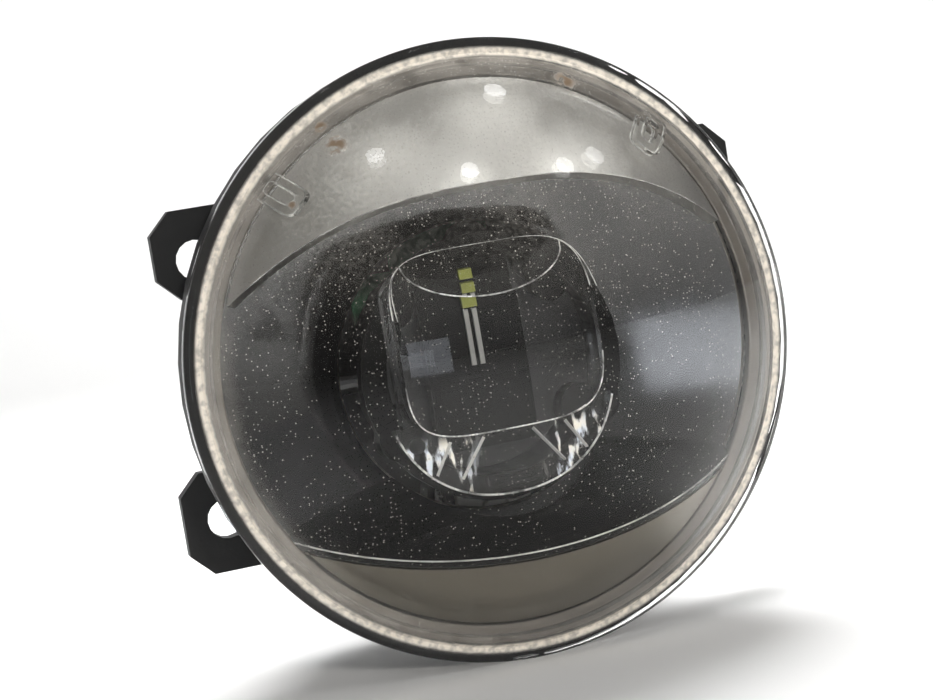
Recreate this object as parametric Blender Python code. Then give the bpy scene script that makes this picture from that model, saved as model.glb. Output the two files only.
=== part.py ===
"""Round LED fog light: a sealed lamp on four ears, with an optic module that tilts for aiming.

Metres, +Z up. The lamp shines along -Y. The origin lies on the lens axis, in the plane of the
upper ears' front faces. In the code, "forward" is the distance from that plane towards -Y.
"""

import math

import bmesh
import bpy
from mathutils import Matrix, Vector

# Fits and roundness
GAP = 0.0003
LENS_SIDES = 48
MODULE_SIDES = 32
SMALL_SIDES = 16
HEX_SIDES = 6
DOME_STEPS = 8
DISH_STEPS = 6
TAB_STEPS = 6
ARCH_STEPS = 32
OUTLINE_STEPS = 48
CURVE_SIDES = 40
CURVE_RINGS = 24
WIRE_STEPS = 12
WIRE_ROUND_STEPS = 2
SHARP_ANGLE = math.radians(32)

# Outer lens
LENS_RADIUS = 0.0490
LENS_FLANGE_WIDTH = 0.0025
LENS_FLANGE_THICK = 0.0030
LENS_EDGE_ROUND = 0.0009
LENS_WALL = 0.0025
LENS_DOME_RISE = 0.0210
LENS_LEG_THICK = 0.0014
LENS_LEG_DEPTH = 0.0038
RIM_FORWARD = 0.0131
TAB_ANGLES = (45, 135)
TAB_WIDTH = 0.0056
TAB_LENGTH = 0.0075
TAB_WALL = 0.0013
TAB_FACE_GAP = 0.0006

# Housing
RIM_WALL = 0.0014
RIM_HEIGHT = 0.0061
SEAL_HEIGHT = 0.0009
HOUSING_WALL = 0.0024
WAIST_RADIUS = 0.0430
WAIST_LENGTH = 0.0040
HOUSING_DEPTH = 0.0340
HOUSING_REAR_RADIUS = 0.0330
RIM_CONE_SLOPE = 0.75
RIM_CONE_THINNING = 0.25

# Ears
EAR_THICK = 0.0030
EAR_CHAMFER = 0.0035
EAR_HOLE_RADIUS = 0.0032
UPPER_EAR_REACH = 0.0486
UPPER_EAR_HEIGHT = 0.0141
UPPER_EAR_Z = 0.0227
UPPER_HOLE_INSET = 0.0066
UPPER_HOLE_Z = 0.0216
LOWER_EAR_REACH = 0.0501
LOWER_EAR_HEIGHT = 0.0166
LOWER_EAR_Z = -0.0208
LOWER_HOLE_INSET = 0.0069
LOWER_HOLE_Z = -0.0206
LOWER_EAR_SETBACK = 0.0070

# Bezel: dish, brow, chin and shelf
BEZEL_FLANGE_THICK = 0.0012
BOWL_LIP_WALL = 0.0010
BOWL_LIP_HEIGHT = 0.0020
BOWL_DEPTH = 0.0098
BOWL_WALL = 0.0020
FACE_LENS_GAP = 0.0025
FACE_WALL = 0.0018
SHELF_THICK = 0.0014

# Edges of the bezel's mouth, as shares of the lens radius
ARCH_TOP_SHARE = 0.537
ARCH_TIP_X_SHARE = 0.837
ARCH_TIP_Z_SHARE = 0.265
ARCH_POWER = 2.6
SHELF_FRONT_SHARE = 0.620
SHELF_TIP_SHARE = 0.443

# Optic module
MODULE_DROP = 0.0025
SHROUD_RADIUS = 0.0212
SHROUD_RIM_LENGTH = 0.0030
SHROUD_TAPER_LENGTH = 0.0020
SHROUD_WALL = 0.0015
SHROUD_BORE = 0.0171
SHROUD_RIM_STEP = 0.0026
OPENING_CLEARANCE = 0.0018
LUG_ANGLES = (40, 140, 208, 332)
LUG_RADIUS = 0.0036
LUG_LENGTH = 0.0045
LUG_STAND = 0.0008
POST_RADIUS = 0.0030
POST_LENGTH = 0.0055

# Inner optic
OPTIC_FLANGE_HALF_WIDTH = 0.0188
OPTIC_FLANGE_HALF_HEIGHT = 0.0198
OPTIC_FLANGE_THICK = 0.0028
OPTIC_FLANGE_UPPER_POWER = 3.2
OPTIC_FLANGE_LOWER_POWER = 2.2
OPTIC_SHOULDER = 0.0005
OPTIC_LIP_TOP = 0.0070
OPTIC_BARREL_HALF_WIDTH = 0.0160
OPTIC_BARREL_BOTTOM = 0.0092
OPTIC_BARREL_POWER = 4.5
OPTIC_BARREL_HEIGHT = 0.0065
OPTIC_CURVE_DEPTH = 0.0200
OPTIC_CURVE_HALF_WIDTH = 0.0346
OPTIC_CURVE_HALF_HEIGHT = 0.0245
OPTIC_LEAF_EDGE = 0.0117
OPTIC_LEAF_SLOPE = 0.80
OPTIC_GATE_WIDTH = 0.0090
OPTIC_GATE_HEIGHT = 0.0024
OPTIC_GATE_STAND = 0.0008

# LED board and its parts
LED_AIR = 0.0085
CHIP_WIDTH = 0.0022
CHIP_HEIGHT = 0.0018
CHIP_THICK = 0.0008
CHIP_UPPER_Z = 0.0113
CHIP_LOWER_Z = 0.0088
STRIP_WIDTH = 0.0007
STRIP_LENGTH = 0.0074
STRIP_SPACING = 0.0013
STRIP_THICK = 0.0004
LED_BOARD_WIDTH = 0.0150
LED_BOARD_HEIGHT = 0.0270
LED_BOARD_THICK = 0.0016
PAD_WIDTH = 0.0090
PAD_HEIGHT = 0.0240
PAD_THICK = 0.0006

# Heat sink and module pivots
SINK_BASE_THICK = 0.0080
FIN_COUNT = 5
FIN_PITCH = 0.0040
FIN_THICK = 0.0016
FIN_HEIGHT = 0.0280
FIN_DEPTH = 0.0130
PIN_RADIUS = 0.0018
PIN_INSERT = 0.0060
PIN_REACH = 0.0285
BUSH_WALL = 0.0013
BUSH_LENGTH = 0.0050
SADDLE_HEIGHT = 0.0130
SADDLE_DEPTH = 0.0110
SCREW_RADIUS = 0.00125
SCREW_HEAD_RADIUS = 0.0022
SCREW_HEAD_THICK = 0.0016
SCREW_BITE = 0.0040

# Aiming gear
AIM_ARM = 0.0250
AIM_SCREW_RADIUS = 0.0025
AIM_SCREW_TIP = 0.0045
AIM_HEAD_ACROSS = 0.0080
AIM_HEAD_THICK = 0.0040
AIM_SLOT_WIDTH = 0.0012
AIM_SLOT_DEPTH = 0.0018
AIM_BOSS_WALL = 0.0030
AIM_BOSS_LENGTH = 0.0056
CLIP_WIDTH = 0.0018
CLIP_THICK = 0.0008
O_RING_WIDTH = 0.0015
FORK_THICK = 0.0030
FORK_WALL = 0.0030
FORK_CLEARANCE = 0.00045
NUT_NECK_WALL = 0.0012
NUT_FLANGE_STAND = 0.0022
NUT_FLANGE_THICK = 0.0020

# Electrics at the rear
DRIVER_WIDTH = 0.0260
DRIVER_HEIGHT = 0.0240
DRIVER_THICK = 0.0016
DRIVER_Z = 0.0080
DRIVER_POST_RADIUS = 0.0022
DRIVER_POST_HEIGHT = 0.0020
DRIVER_POST_INSET = 0.0030
CHOKE_RADIUS = 0.0040
CHOKE_HEIGHT = 0.0030
DRIVER_CHIP_WIDTH = 0.0060
DRIVER_CHIP_HEIGHT = 0.0050
DRIVER_CHIP_THICK = 0.0012
WIRE_RADIUS = 0.0008
WIRE_RISE = 0.0020
WIRE_SWAY = 0.0015
WIRE_CHANNEL = 1.5
SOCKET_Z = 0.0140
SOCKET_WIDTH = 0.0170
SOCKET_HEIGHT = 0.0130
SOCKET_WALL = 0.0020
SOCKET_LENGTH = 0.0157
SOCKET_FLANGE_STAND = 0.0025
SOCKET_FLANGE_THICK = 0.0020
LATCH_WIDTH = 0.0050
LATCH_STAND = 0.0014
LATCH_LENGTH = 0.0030
BLADE_WIDTH = 0.0015
BLADE_THICK = 0.0008
BLADE_SPACING = 0.0060
BLADE_SHOW = 0.0100
VENT_X = 0.0200
VENT_Z = -0.0060
VENT_BORE_RADIUS = 0.0015
VENT_NIPPLE_RADIUS = 0.0030
VENT_NIPPLE_LENGTH = 0.0040
VENT_CAP_WALL = 0.0013
VENT_CAP_STAND = 0.0010
MEMBRANE_THICK = 0.0003

# Outer lens and rim, worked out
FLANGE_BACK = RIM_FORWARD - LENS_FLANGE_THICK / 2
FLANGE_FRONT = RIM_FORWARD + LENS_FLANGE_THICK / 2
DOME_BASE = LENS_RADIUS - LENS_FLANGE_WIDTH
DOME_RADIUS = (DOME_BASE**2 + LENS_DOME_RISE**2) / (2 * LENS_DOME_RISE)
DOME_CENTRE = FLANGE_FRONT + LENS_DOME_RISE - DOME_RADIUS
LENS_INNER_RADIUS = DOME_BASE - LENS_WALL
HOUSING_RADIUS = LENS_RADIUS - GAP
LEG_OUTER = HOUSING_RADIUS - RIM_WALL - GAP
LEG_INNER = LEG_OUTER - LENS_LEG_THICK
LEG_BACK = FLANGE_BACK - LENS_LEG_DEPTH
MOUTH_RADIUS = LEG_INNER - GAP - RIM_WALL
GROOVE_FLOOR = LEG_BACK - SEAL_HEIGHT - 2 * GAP
RIM_TOP = FLANGE_BACK - GAP
INNER_RIM_TOP = RIM_TOP - BEZEL_FLANGE_THICK - GAP
RIM_BACK = RIM_TOP - RIM_HEIGHT
WAIST_FRONT = RIM_BACK - (HOUSING_RADIUS - WAIST_RADIUS) * RIM_CONE_SLOPE
RIM_CONE_SHIFT = HOUSING_WALL * RIM_CONE_THINNING

# Bezel, worked out
BOWL_OUTER = MOUTH_RADIUS - GAP
BOWL_EDGE = BOWL_OUTER - BOWL_LIP_WALL
BOWL_EDGE_FORWARD = RIM_TOP - BOWL_LIP_HEIGHT
BEZEL_FLANGE_RADIUS = LEG_INNER - 2 * GAP
FACE_RADIUS = DOME_RADIUS - LENS_WALL - FACE_LENS_GAP
FACE_EDGE = BOWL_EDGE - GAP
ARCH_TOP_Z = LENS_RADIUS * ARCH_TOP_SHARE
ARCH_TIP_X = LENS_RADIUS * ARCH_TIP_X_SHARE
ARCH_TIP_Z = LENS_RADIUS * ARCH_TIP_Z_SHARE
SHELF_FRONT_Z = -LENS_RADIUS * SHELF_FRONT_SHARE
SHELF_TIP_Z = -LENS_RADIUS * SHELF_TIP_SHARE
OPENING_RADIUS = SHROUD_RADIUS + OPENING_CLEARANCE
MODULE_Z = -MODULE_DROP

# Module stations along the lamp's axis, from the front backwards
OPTIC_FLANGE_FRONT = RIM_FORWARD
OPTIC_FLANGE_BACK = OPTIC_FLANGE_FRONT - OPTIC_FLANGE_THICK
SHROUD_FRONT = OPTIC_FLANGE_BACK - GAP
LED_BOARD_FRONT = OPTIC_FLANGE_BACK - LED_AIR - CHIP_THICK - GAP
LED_BOARD_BACK = LED_BOARD_FRONT - LED_BOARD_THICK
PAD_FRONT = LED_BOARD_BACK - GAP
SINK_FRONT = PAD_FRONT - PAD_THICK - GAP
SINK_BACK = SINK_FRONT - SINK_BASE_THICK
PIVOT_FORWARD = (SINK_FRONT + SINK_BACK) / 2
SHROUD_REAR_RADIUS = SHROUD_BORE + SHROUD_WALL
POST_CIRCLE = SHROUD_REAR_RADIUS - POST_RADIUS
AIM_Z = MODULE_Z - AIM_ARM

# Rear wall stations
REAR_OUTSIDE = -HOUSING_DEPTH
REAR_INSIDE = REAR_OUTSIDE + HOUSING_WALL
DRIVER_BACK = REAR_INSIDE + DRIVER_POST_HEIGHT + GAP
DRIVER_FRONT = DRIVER_BACK + DRIVER_THICK
SOCKET_BASE = REAR_OUTSIDE - GAP
SOCKET_FLOOR = SOCKET_BASE - SOCKET_FLANGE_THICK

AXIS_LIMIT = 1e-7
FAR = 2 * LENS_RADIUS


def clear_scene():
    """Start from an empty scene."""
    for leftover in list(bpy.data.objects):
        bpy.data.objects.remove(leftover, do_unlink=True)


def finished(name, mesh):
    """Turn a bmesh into a smooth-shaded object with its faces pointing out."""
    bmesh.ops.recalc_face_normals(mesh, faces=mesh.faces)
    data = bpy.data.meshes.new(name)
    mesh.to_mesh(data)
    mesh.free()
    solid = bpy.data.objects.new(name, data)
    bpy.context.scene.collection.objects.link(solid)
    return solid


def turned(name, profile, axis_x=0.0, axis_z=0.0, sides=LENS_SIDES):
    """Turn a closed outline of (radius, forward) points about a line along Y."""
    mesh = bmesh.new()
    rings = []
    for radius, forward in profile:
        steps = 1 if radius < AXIS_LIMIT else sides
        ring = []
        for step in range(steps):
            turn = 2 * math.pi * step / sides
            x = axis_x + radius * math.cos(turn)
            z = axis_z + radius * math.sin(turn)
            ring.append(mesh.verts.new((x, -forward, z)))
        rings.append(ring)
    for ring, following in zip(rings, rings[1:] + rings[:1]):
        if len(ring) == 1 and len(following) == 1:
            continue
        for step in range(sides):
            after = (step + 1) % sides
            corners = [
                ring[step % len(ring)],
                ring[after % len(ring)],
                following[after % len(following)],
                following[step % len(following)],
            ]
            mesh.faces.new(list(dict.fromkeys(corners)))
    return finished(name, mesh)


def prism(name, outline, back, front):
    """Extrude an outline of (x, z) points along Y between two forward stations."""
    mesh = bmesh.new()
    face = mesh.faces.new([mesh.verts.new((x, -back, z)) for x, z in outline])
    grown = bmesh.ops.extrude_face_region(mesh, geom=[face])
    moved = [item for item in grown["geom"] if isinstance(item, bmesh.types.BMVert)]
    bmesh.ops.translate(mesh, vec=(0, back - front, 0), verts=moved)
    return finished(name, mesh)


def block(name, x_span, forward_span, z_span):
    """Make a box from its spans in x, forward and z."""
    outline = [
        (x_span[0], z_span[0]),
        (x_span[1], z_span[0]),
        (x_span[1], z_span[1]),
        (x_span[0], z_span[1]),
    ]
    return prism(name, outline, forward_span[0], forward_span[1])


def around(middle, width):
    """Give the span of a width about its middle."""
    return (middle - width / 2, middle + width / 2)


def rod(name, radius, back, front, x=0.0, z=0.0, sides=SMALL_SIDES):
    """Make a round rod along Y."""
    profile = [(0.0, back), (radius, back), (radius, front), (0.0, front)]
    return turned(name, profile, x, z, sides)


def tube(name, inner, outer, back, front, x=0.0, z=0.0, sides=SMALL_SIDES):
    """Make a round tube along Y."""
    profile = [(inner, back), (outer, back), (outer, front), (inner, front)]
    return turned(name, profile, x, z, sides)


def lay_along_x(solid, forward, z):
    """Turn a piece made along Y at the origin so that its forward way lies along +X."""
    lie = Matrix.Rotation(math.radians(90), 4, "Z")
    solid.data.transform(Matrix.Translation((0, -forward, z)) @ lie)
    return solid


def slab(name, centre, tilt, thick):
    """Make a wide slab whose top face holds the centre and is tilted about X from level."""
    mesh = bmesh.new()
    bmesh.ops.create_cube(mesh, size=1.0)
    size = Matrix.Diagonal((2 * FAR, 2 * FAR, thick, 1.0))
    sink = Matrix.Translation((0, 0, -thick / 2))
    place = Matrix.Translation(Vector((centre[0], -centre[1], centre[2])))
    mesh.transform(place @ Matrix.Rotation(tilt, 4, "X") @ sink @ size)
    return finished(name, mesh)


def combine(target, tool, operation):
    """Cut a tool from a solid, join them or keep their overlap, and remove the tool."""
    step = target.modifiers.new(tool.name, "BOOLEAN")
    step.operation = operation
    step.solver = "EXACT"
    step.object = tool
    graph = bpy.context.evaluated_depsgraph_get()
    result = bpy.data.meshes.new_from_object(target.evaluated_get(graph))
    target.modifiers.remove(step)
    target.data = result
    bpy.data.objects.remove(tool, do_unlink=True)
    return target


def gather(name, tools):
    """Bring tools that don't touch each other into one object, to be used in one go."""
    mesh = bmesh.new()
    for tool in tools:
        mesh.from_mesh(tool.data)
        bpy.data.objects.remove(tool, do_unlink=True)
    return finished(name, mesh)


def cut(target, tool):
    return combine(target, tool, "DIFFERENCE")


def join(target, tool):
    return combine(target, tool, "UNION")


def overlap(target, tool):
    return combine(target, tool, "INTERSECT")


def paint(solid, colour, roughness, metallic=0.0, alpha=1.0):
    """Give a piece its own material and smooth shading."""
    finish = bpy.data.materials.new(solid.name)
    finish.use_nodes = True
    shader = finish.node_tree.nodes["Principled BSDF"]
    shader.inputs["Base Color"].default_value = (*colour, 1.0)
    shader.inputs["Roughness"].default_value = roughness
    shader.inputs["Metallic"].default_value = metallic
    shader.inputs["Alpha"].default_value = alpha
    solid.data.materials.clear()
    solid.data.materials.append(finish)
    if solid.type == "MESH":
        solid.data.shade_smooth()
        solid.data.set_sharp_from_angle(angle=SHARP_ANGLE)
    return solid


def sphere_forward(sphere_radius, radius):
    """Give the forward station of a sphere about the dome's centre, at a radius from the axis."""
    return DOME_CENTRE + math.sqrt(sphere_radius**2 - radius**2)


def sphere_arc(sphere_radius, start, end, steps):
    """Points on a sphere about the dome's centre, evenly spread between two radii."""
    first = math.asin(start / sphere_radius)
    last = math.asin(end / sphere_radius)
    points = []
    for step in range(steps + 1):
        angle = first + (last - first) * step / steps
        forward = DOME_CENTRE + sphere_radius * math.cos(angle)
        points.append((sphere_radius * math.sin(angle), forward))
    return points


def bowl_forward(radius):
    """Give the dish's front face, a paraboloid, at a radius from the axis."""
    return BOWL_EDGE_FORWARD - BOWL_DEPTH * (1 - (radius / BOWL_EDGE) ** 2)


def bowl_arc(start, end, offset, steps):
    """Points along the dish's face, moved forward by an offset."""
    points = []
    for step in range(steps + 1):
        radius = start + (end - start) * step / steps
        points.append((radius, bowl_forward(radius) + offset))
    return points


def superellipse(half_width, half_height, middle_z, upper_power, lower_power):
    """Outline of a rounded rectangle whose upper and lower halves may differ."""
    outline = []
    for step in range(OUTLINE_STEPS):
        turn = 2 * math.pi * step / OUTLINE_STEPS
        power = upper_power if math.sin(turn) >= 0 else lower_power
        wide = math.copysign(abs(math.cos(turn)) ** (2 / power), math.cos(turn))
        tall = math.copysign(abs(math.sin(turn)) ** (2 / power), math.sin(turn))
        outline.append((half_width * wide, middle_z + half_height * tall))
    return outline


def lug_places(circle):
    """Centres of the module's lugs on a circle about its axis."""
    places = []
    for degrees in LUG_ANGLES:
        turn = math.radians(degrees)
        places.append((circle * math.cos(turn), MODULE_Z + circle * math.sin(turn)))
    return places


def lens_tab(degrees):
    """A moulded locating frame that stands off the dome's inner face."""
    outer = LENS_INNER_RADIUS + LENS_WALL / 2
    middle = outer - TAB_LENGTH / 2
    frame = block("tab", around(middle, TAB_LENGTH), (RIM_FORWARD, FAR), around(0, TAB_WIDTH))
    hollow = block(
        "hollow",
        around(middle, TAB_LENGTH - 2 * TAB_WALL),
        (-FAR, 2 * FAR),
        around(0, TAB_WIDTH - 2 * TAB_WALL),
    )
    cut(frame, hollow)
    turn = Matrix.Rotation(-math.radians(degrees), 4, "Y")
    frame.data.transform(turn)
    inside = FACE_RADIUS + TAB_FACE_GAP
    outside = DOME_RADIUS - LENS_WALL / 2
    start = outer - 2 * TAB_LENGTH
    profile = sphere_arc(inside, start, DOME_BASE, TAB_STEPS)
    profile += sphere_arc(outside, DOME_BASE, start, TAB_STEPS)
    return overlap(frame, turned("tab_room", profile))


def make_outer_lens():
    profile = sphere_arc(DOME_RADIUS, 0.0, DOME_BASE, DOME_STEPS)
    profile += [
        (LENS_RADIUS - LENS_EDGE_ROUND, FLANGE_FRONT),
        (LENS_RADIUS, FLANGE_FRONT - LENS_EDGE_ROUND),
        (LENS_RADIUS, FLANGE_BACK + LENS_EDGE_ROUND / 2),
        (LENS_RADIUS - LENS_EDGE_ROUND / 2, FLANGE_BACK),
        (LEG_OUTER, FLANGE_BACK),
        (LEG_OUTER, LEG_BACK),
        (LEG_INNER, LEG_BACK),
        (LEG_INNER, FLANGE_BACK),
        (LENS_INNER_RADIUS, FLANGE_BACK),
    ]
    profile += sphere_arc(DOME_RADIUS - LENS_WALL, LENS_INNER_RADIUS, 0.0, DOME_STEPS)
    lens = turned("outer_lens", profile)
    for degrees in TAB_ANGLES:
        join(lens, lens_tab(degrees))
    return paint(lens, (0.90, 0.90, 0.88), 0.05, 0.0, 0.25)


def make_lens_seal():
    back = GROOVE_FLOOR + GAP
    seal = tube("lens_seal", LEG_INNER, LEG_OUTER, back, LEG_BACK - GAP, sides=LENS_SIDES)
    return paint(seal, (0.12, 0.12, 0.12), 0.7)


def ear_outline(reach, height, middle_z, side):
    """Flat ear with two chamfered outer corners, running in to the housing's waist."""
    top = middle_z + height / 2
    bottom = middle_z - height / 2
    root = WAIST_RADIUS / 2
    corners = [
        (root, bottom),
        (reach - EAR_CHAMFER, bottom),
        (reach, bottom + EAR_CHAMFER),
        (reach, top - EAR_CHAMFER),
        (reach - EAR_CHAMFER, top),
        (root, top),
    ]
    return [(side * x, z) for x, z in corners]


def ear_holes():
    """Centres of the screw holes in one side's upper and lower ear."""
    return [
        (UPPER_EAR_REACH - UPPER_HOLE_INSET, UPPER_HOLE_Z),
        (LOWER_EAR_REACH - LOWER_HOLE_INSET, LOWER_HOLE_Z),
    ]


def housing_cavity():
    """The hollow of the housing, with room left out for the bosses that stand in it."""
    slope = (WAIST_RADIUS - HOUSING_REAR_RADIUS) / (WAIST_FRONT - WAIST_LENGTH - REAR_OUTSIDE)
    waist_inside = WAIST_RADIUS - HOUSING_WALL
    waist_back = WAIST_FRONT - WAIST_LENGTH
    rear_inside_radius = waist_inside - slope * (waist_back - REAR_INSIDE)
    profile = [
        (0.0, REAR_INSIDE),
        (rear_inside_radius, REAR_INSIDE),
        (waist_inside, waist_back),
        (waist_inside, WAIST_FRONT + RIM_CONE_SHIFT),
        (MOUTH_RADIUS, RIM_BACK + RIM_CONE_SHIFT),
        (MOUTH_RADIUS, RIM_TOP + FAR),
        (0.0, RIM_TOP + FAR),
    ]
    cavity = turned("cavity", profile)
    boss_radius = AIM_SCREW_RADIUS + GAP + AIM_BOSS_WALL
    boss_front = REAR_INSIDE + AIM_BOSS_LENGTH
    bosses = [rod("aim_boss", boss_radius, REAR_INSIDE - FAR, boss_front, 0.0, AIM_Z)]
    for side in (-1, 1):
        inner = PIN_REACH + GAP - BUSH_LENGTH
        ends = sorted((side * inner, side * FAR))
        depth = around(PIVOT_FORWARD, SADDLE_DEPTH)
        bosses.append(block("saddle", ends, depth, around(MODULE_Z, SADDLE_HEIGHT)))
    post_front = REAR_INSIDE + DRIVER_POST_HEIGHT
    for x, z in driver_corners():
        bosses.append(rod("post", DRIVER_POST_RADIUS, REAR_INSIDE - FAR, post_front, x, z))
    return cut(cavity, gather("bosses", bosses))


def driver_corners():
    """Centres of the four posts under the driver board."""
    half_x = DRIVER_WIDTH / 2 - DRIVER_POST_INSET
    half_z = DRIVER_HEIGHT / 2 - DRIVER_POST_INSET
    return [
        (x_sign * half_x, DRIVER_Z + z_sign * half_z)
        for x_sign in (-1, 1)
        for z_sign in (-1, 1)
    ]


def aim_bore():
    """Bore for the aim screw, with a recess for its ring at the rear."""
    bore = AIM_SCREW_RADIUS + GAP
    recess = bore + O_RING_WIDTH + GAP
    recess_front = REAR_OUTSIDE + O_RING_WIDTH + 2 * GAP
    profile = [
        (0.0, -FAR),
        (recess, -FAR),
        (recess, recess_front),
        (bore, recess_front),
        (bore, SINK_BACK),
        (0.0, SINK_BACK),
    ]
    return turned("aim_bore", profile, 0.0, AIM_Z, SMALL_SIDES)


def make_housing():
    profile = [
        (0.0, REAR_OUTSIDE),
        (HOUSING_REAR_RADIUS, REAR_OUTSIDE),
        (WAIST_RADIUS, WAIST_FRONT - WAIST_LENGTH),
        (WAIST_RADIUS, WAIST_FRONT),
        (HOUSING_RADIUS, RIM_BACK),
        (HOUSING_RADIUS, RIM_TOP),
        (LEG_OUTER + GAP, RIM_TOP),
        (LEG_OUTER + GAP, GROOVE_FLOOR),
        (LEG_INNER - GAP, GROOVE_FLOOR),
        (LEG_INNER - GAP, INNER_RIM_TOP),
        (0.0, INNER_RIM_TOP),
    ]
    housing = turned("housing", profile)
    upper = (UPPER_EAR_REACH, UPPER_EAR_HEIGHT, UPPER_EAR_Z)
    lower = (LOWER_EAR_REACH, LOWER_EAR_HEIGHT, LOWER_EAR_Z)
    lower_front = -LOWER_EAR_SETBACK
    lower_back = lower_front - EAR_THICK
    nipple_back = REAR_OUTSIDE - VENT_NIPPLE_LENGTH
    outside = [rod("nipple", VENT_NIPPLE_RADIUS, nipple_back, REAR_INSIDE, VENT_X, VENT_Z)]
    for side in (-1, 1):
        outside.append(prism("ear", ear_outline(*upper, side), -EAR_THICK, 0.0))
        outside.append(prism("ear", ear_outline(*lower, side), lower_back, lower_front))
    join(housing, gather("outside", outside))
    cut(housing, housing_cavity())
    holes = [aim_bore(), rod("vent_bore", VENT_BORE_RADIUS, -FAR, SINK_BACK, VENT_X, VENT_Z)]
    for side in (-1, 1):
        ends = (lower_back - EAR_THICK, 2 * GAP)
        for x, z in ear_holes():
            holes.append(rod("ear_hole", EAR_HOLE_RADIUS, *ends, side * x, z))
        seat = rod("bush_seat", bush_outer() + GAP, -BUSH_LENGTH - GAP, BUSH_LENGTH + GAP)
        lay_along_x(seat, PIVOT_FORWARD, MODULE_Z)
        seat.data.transform(Matrix.Translation((side * PIN_REACH, 0, 0)))
        holes.append(seat)
        slot = block(
            "blade_slot",
            around(side * BLADE_SPACING / 2, BLADE_WIDTH + 2 * GAP),
            (REAR_OUTSIDE - FAR, DRIVER_BACK - GAP),
            around(SOCKET_Z, BLADE_THICK + 2 * GAP),
        )
        holes.append(slot)
    cut(housing, gather("holes", holes))
    return paint(housing, (0.018, 0.018, 0.019), 0.55)


def bush_outer():
    return PIN_RADIUS + GAP + BUSH_WALL


def make_bezel_bowl():
    start = (OPENING_RADIUS - MODULE_DROP) / 2
    profile = bowl_arc(start, BOWL_EDGE, 0.0, DISH_STEPS)
    profile += [
        (BOWL_EDGE, RIM_TOP),
        (BEZEL_FLANGE_RADIUS, RIM_TOP),
        (BEZEL_FLANGE_RADIUS, INNER_RIM_TOP + GAP),
        (BOWL_OUTER, INNER_RIM_TOP + GAP),
    ]
    profile += bowl_arc(BOWL_OUTER, start, -BOWL_WALL, DISH_STEPS)
    bowl = turned("bezel_bowl", profile)
    cut(bowl, rod("opening", OPENING_RADIUS, -FAR, FAR, 0.0, MODULE_Z, MODULE_SIDES))
    return paint(bowl, (0.34, 0.34, 0.35), 0.16, 1.0)


def bezel_face(name):
    """The full turned face that follows the lens; brow and chin are cut from it."""
    start = OPENING_RADIUS / 2
    foot = FACE_EDGE - FACE_WALL
    profile = sphere_arc(FACE_RADIUS, start, FACE_EDGE, DOME_STEPS)
    profile += [
        (FACE_EDGE, bowl_forward(FACE_EDGE) + GAP),
        (foot, bowl_forward(foot) + GAP),
    ]
    profile += sphere_arc(FACE_RADIUS - FACE_WALL, foot, start, DOME_STEPS)
    return turned(name, profile)


def make_bezel_brow():
    brow = bezel_face("bezel_brow")
    outline = []
    for step in range(ARCH_STEPS + 1):
        x = LENS_RADIUS * (2 * step / ARCH_STEPS - 1)
        drop = (ARCH_TOP_Z - ARCH_TIP_Z) * abs(x / ARCH_TIP_X) ** ARCH_POWER
        outline.append((x, ARCH_TOP_Z - drop))
    outline += [(LENS_RADIUS, FAR), (-LENS_RADIUS, FAR)]
    overlap(brow, prism("arch", outline, -FAR, FAR))
    return paint(brow, (0.62, 0.61, 0.58), 0.38, 1.0)


def shelf_plane():
    """Middle of the shelf's front edge, and the shelf's tilt about X."""
    front = sphere_forward(FACE_RADIUS, -SHELF_FRONT_Z)
    tip = bowl_forward(FACE_EDGE)
    fall = (SHELF_TIP_Z - SHELF_FRONT_Z) / (front - tip)
    return (0.0, front, SHELF_FRONT_Z), math.atan(fall)


def make_bezel_chin():
    chin = bezel_face("bezel_chin")
    edge, tilt = shelf_plane()
    below = (SHELF_THICK + GAP) / math.cos(tilt)
    overlap(chin, slab("under_shelf", (edge[0], edge[1], edge[2] - below), tilt, FAR))
    return paint(chin, (0.55, 0.53, 0.49), 0.34, 1.0)


def make_bezel_shelf():
    edge, tilt = shelf_plane()
    shelf = slab("bezel_shelf", edge, tilt, SHELF_THICK)
    profile = sphere_arc(FACE_RADIUS, 0.0, FACE_EDGE, DOME_STEPS)
    profile += bowl_arc(FACE_EDGE, 0.0, GAP, DISH_STEPS)
    overlap(shelf, turned("mouth_room", profile))
    cut(shelf, rod("opening", OPENING_RADIUS, -FAR, FAR, 0.0, MODULE_Z, MODULE_SIDES))
    return paint(shelf, (0.012, 0.012, 0.013), 0.12)


def make_optic_shroud():
    taper_front = SHROUD_FRONT - SHROUD_RIM_LENGTH
    taper_back = taper_front - SHROUD_TAPER_LENGTH
    back = SINK_FRONT + GAP
    waist = SHROUD_RADIUS - SHROUD_RIM_STEP
    profile = [
        (SHROUD_BORE, back),
        (SHROUD_REAR_RADIUS, back),
        (max(waist, SHROUD_REAR_RADIUS), taper_back),
        (SHROUD_RADIUS, taper_front),
        (SHROUD_RADIUS, SHROUD_FRONT),
        (SHROUD_BORE, SHROUD_FRONT),
    ]
    shroud = turned("optic_shroud", profile, 0.0, MODULE_Z, MODULE_SIDES)
    lug_circle = SHROUD_RADIUS + LUG_STAND - LUG_RADIUS
    lug_inner = rod("plug_room", SHROUD_BORE, -FAR, FAR, 0.0, MODULE_Z, MODULE_SIDES)
    for x, z in lug_places(lug_circle):
        lug = rod("lug", LUG_RADIUS, SHROUD_FRONT - LUG_LENGTH, SHROUD_FRONT, x, z)
        join(shroud, lug)
    cut(shroud, lug_inner)
    for x, z in lug_places(POST_CIRCLE):
        join(shroud, rod("post", POST_RADIUS, back, back + POST_LENGTH, x, z))
    for x, z in lug_places(POST_CIRCLE):
        bite = back + SCREW_BITE + GAP
        cut(shroud, rod("screw_hole", SCREW_RADIUS + GAP, -FAR, bite, x, z))
    return paint(shroud, (0.015, 0.015, 0.016), 0.32)


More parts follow.
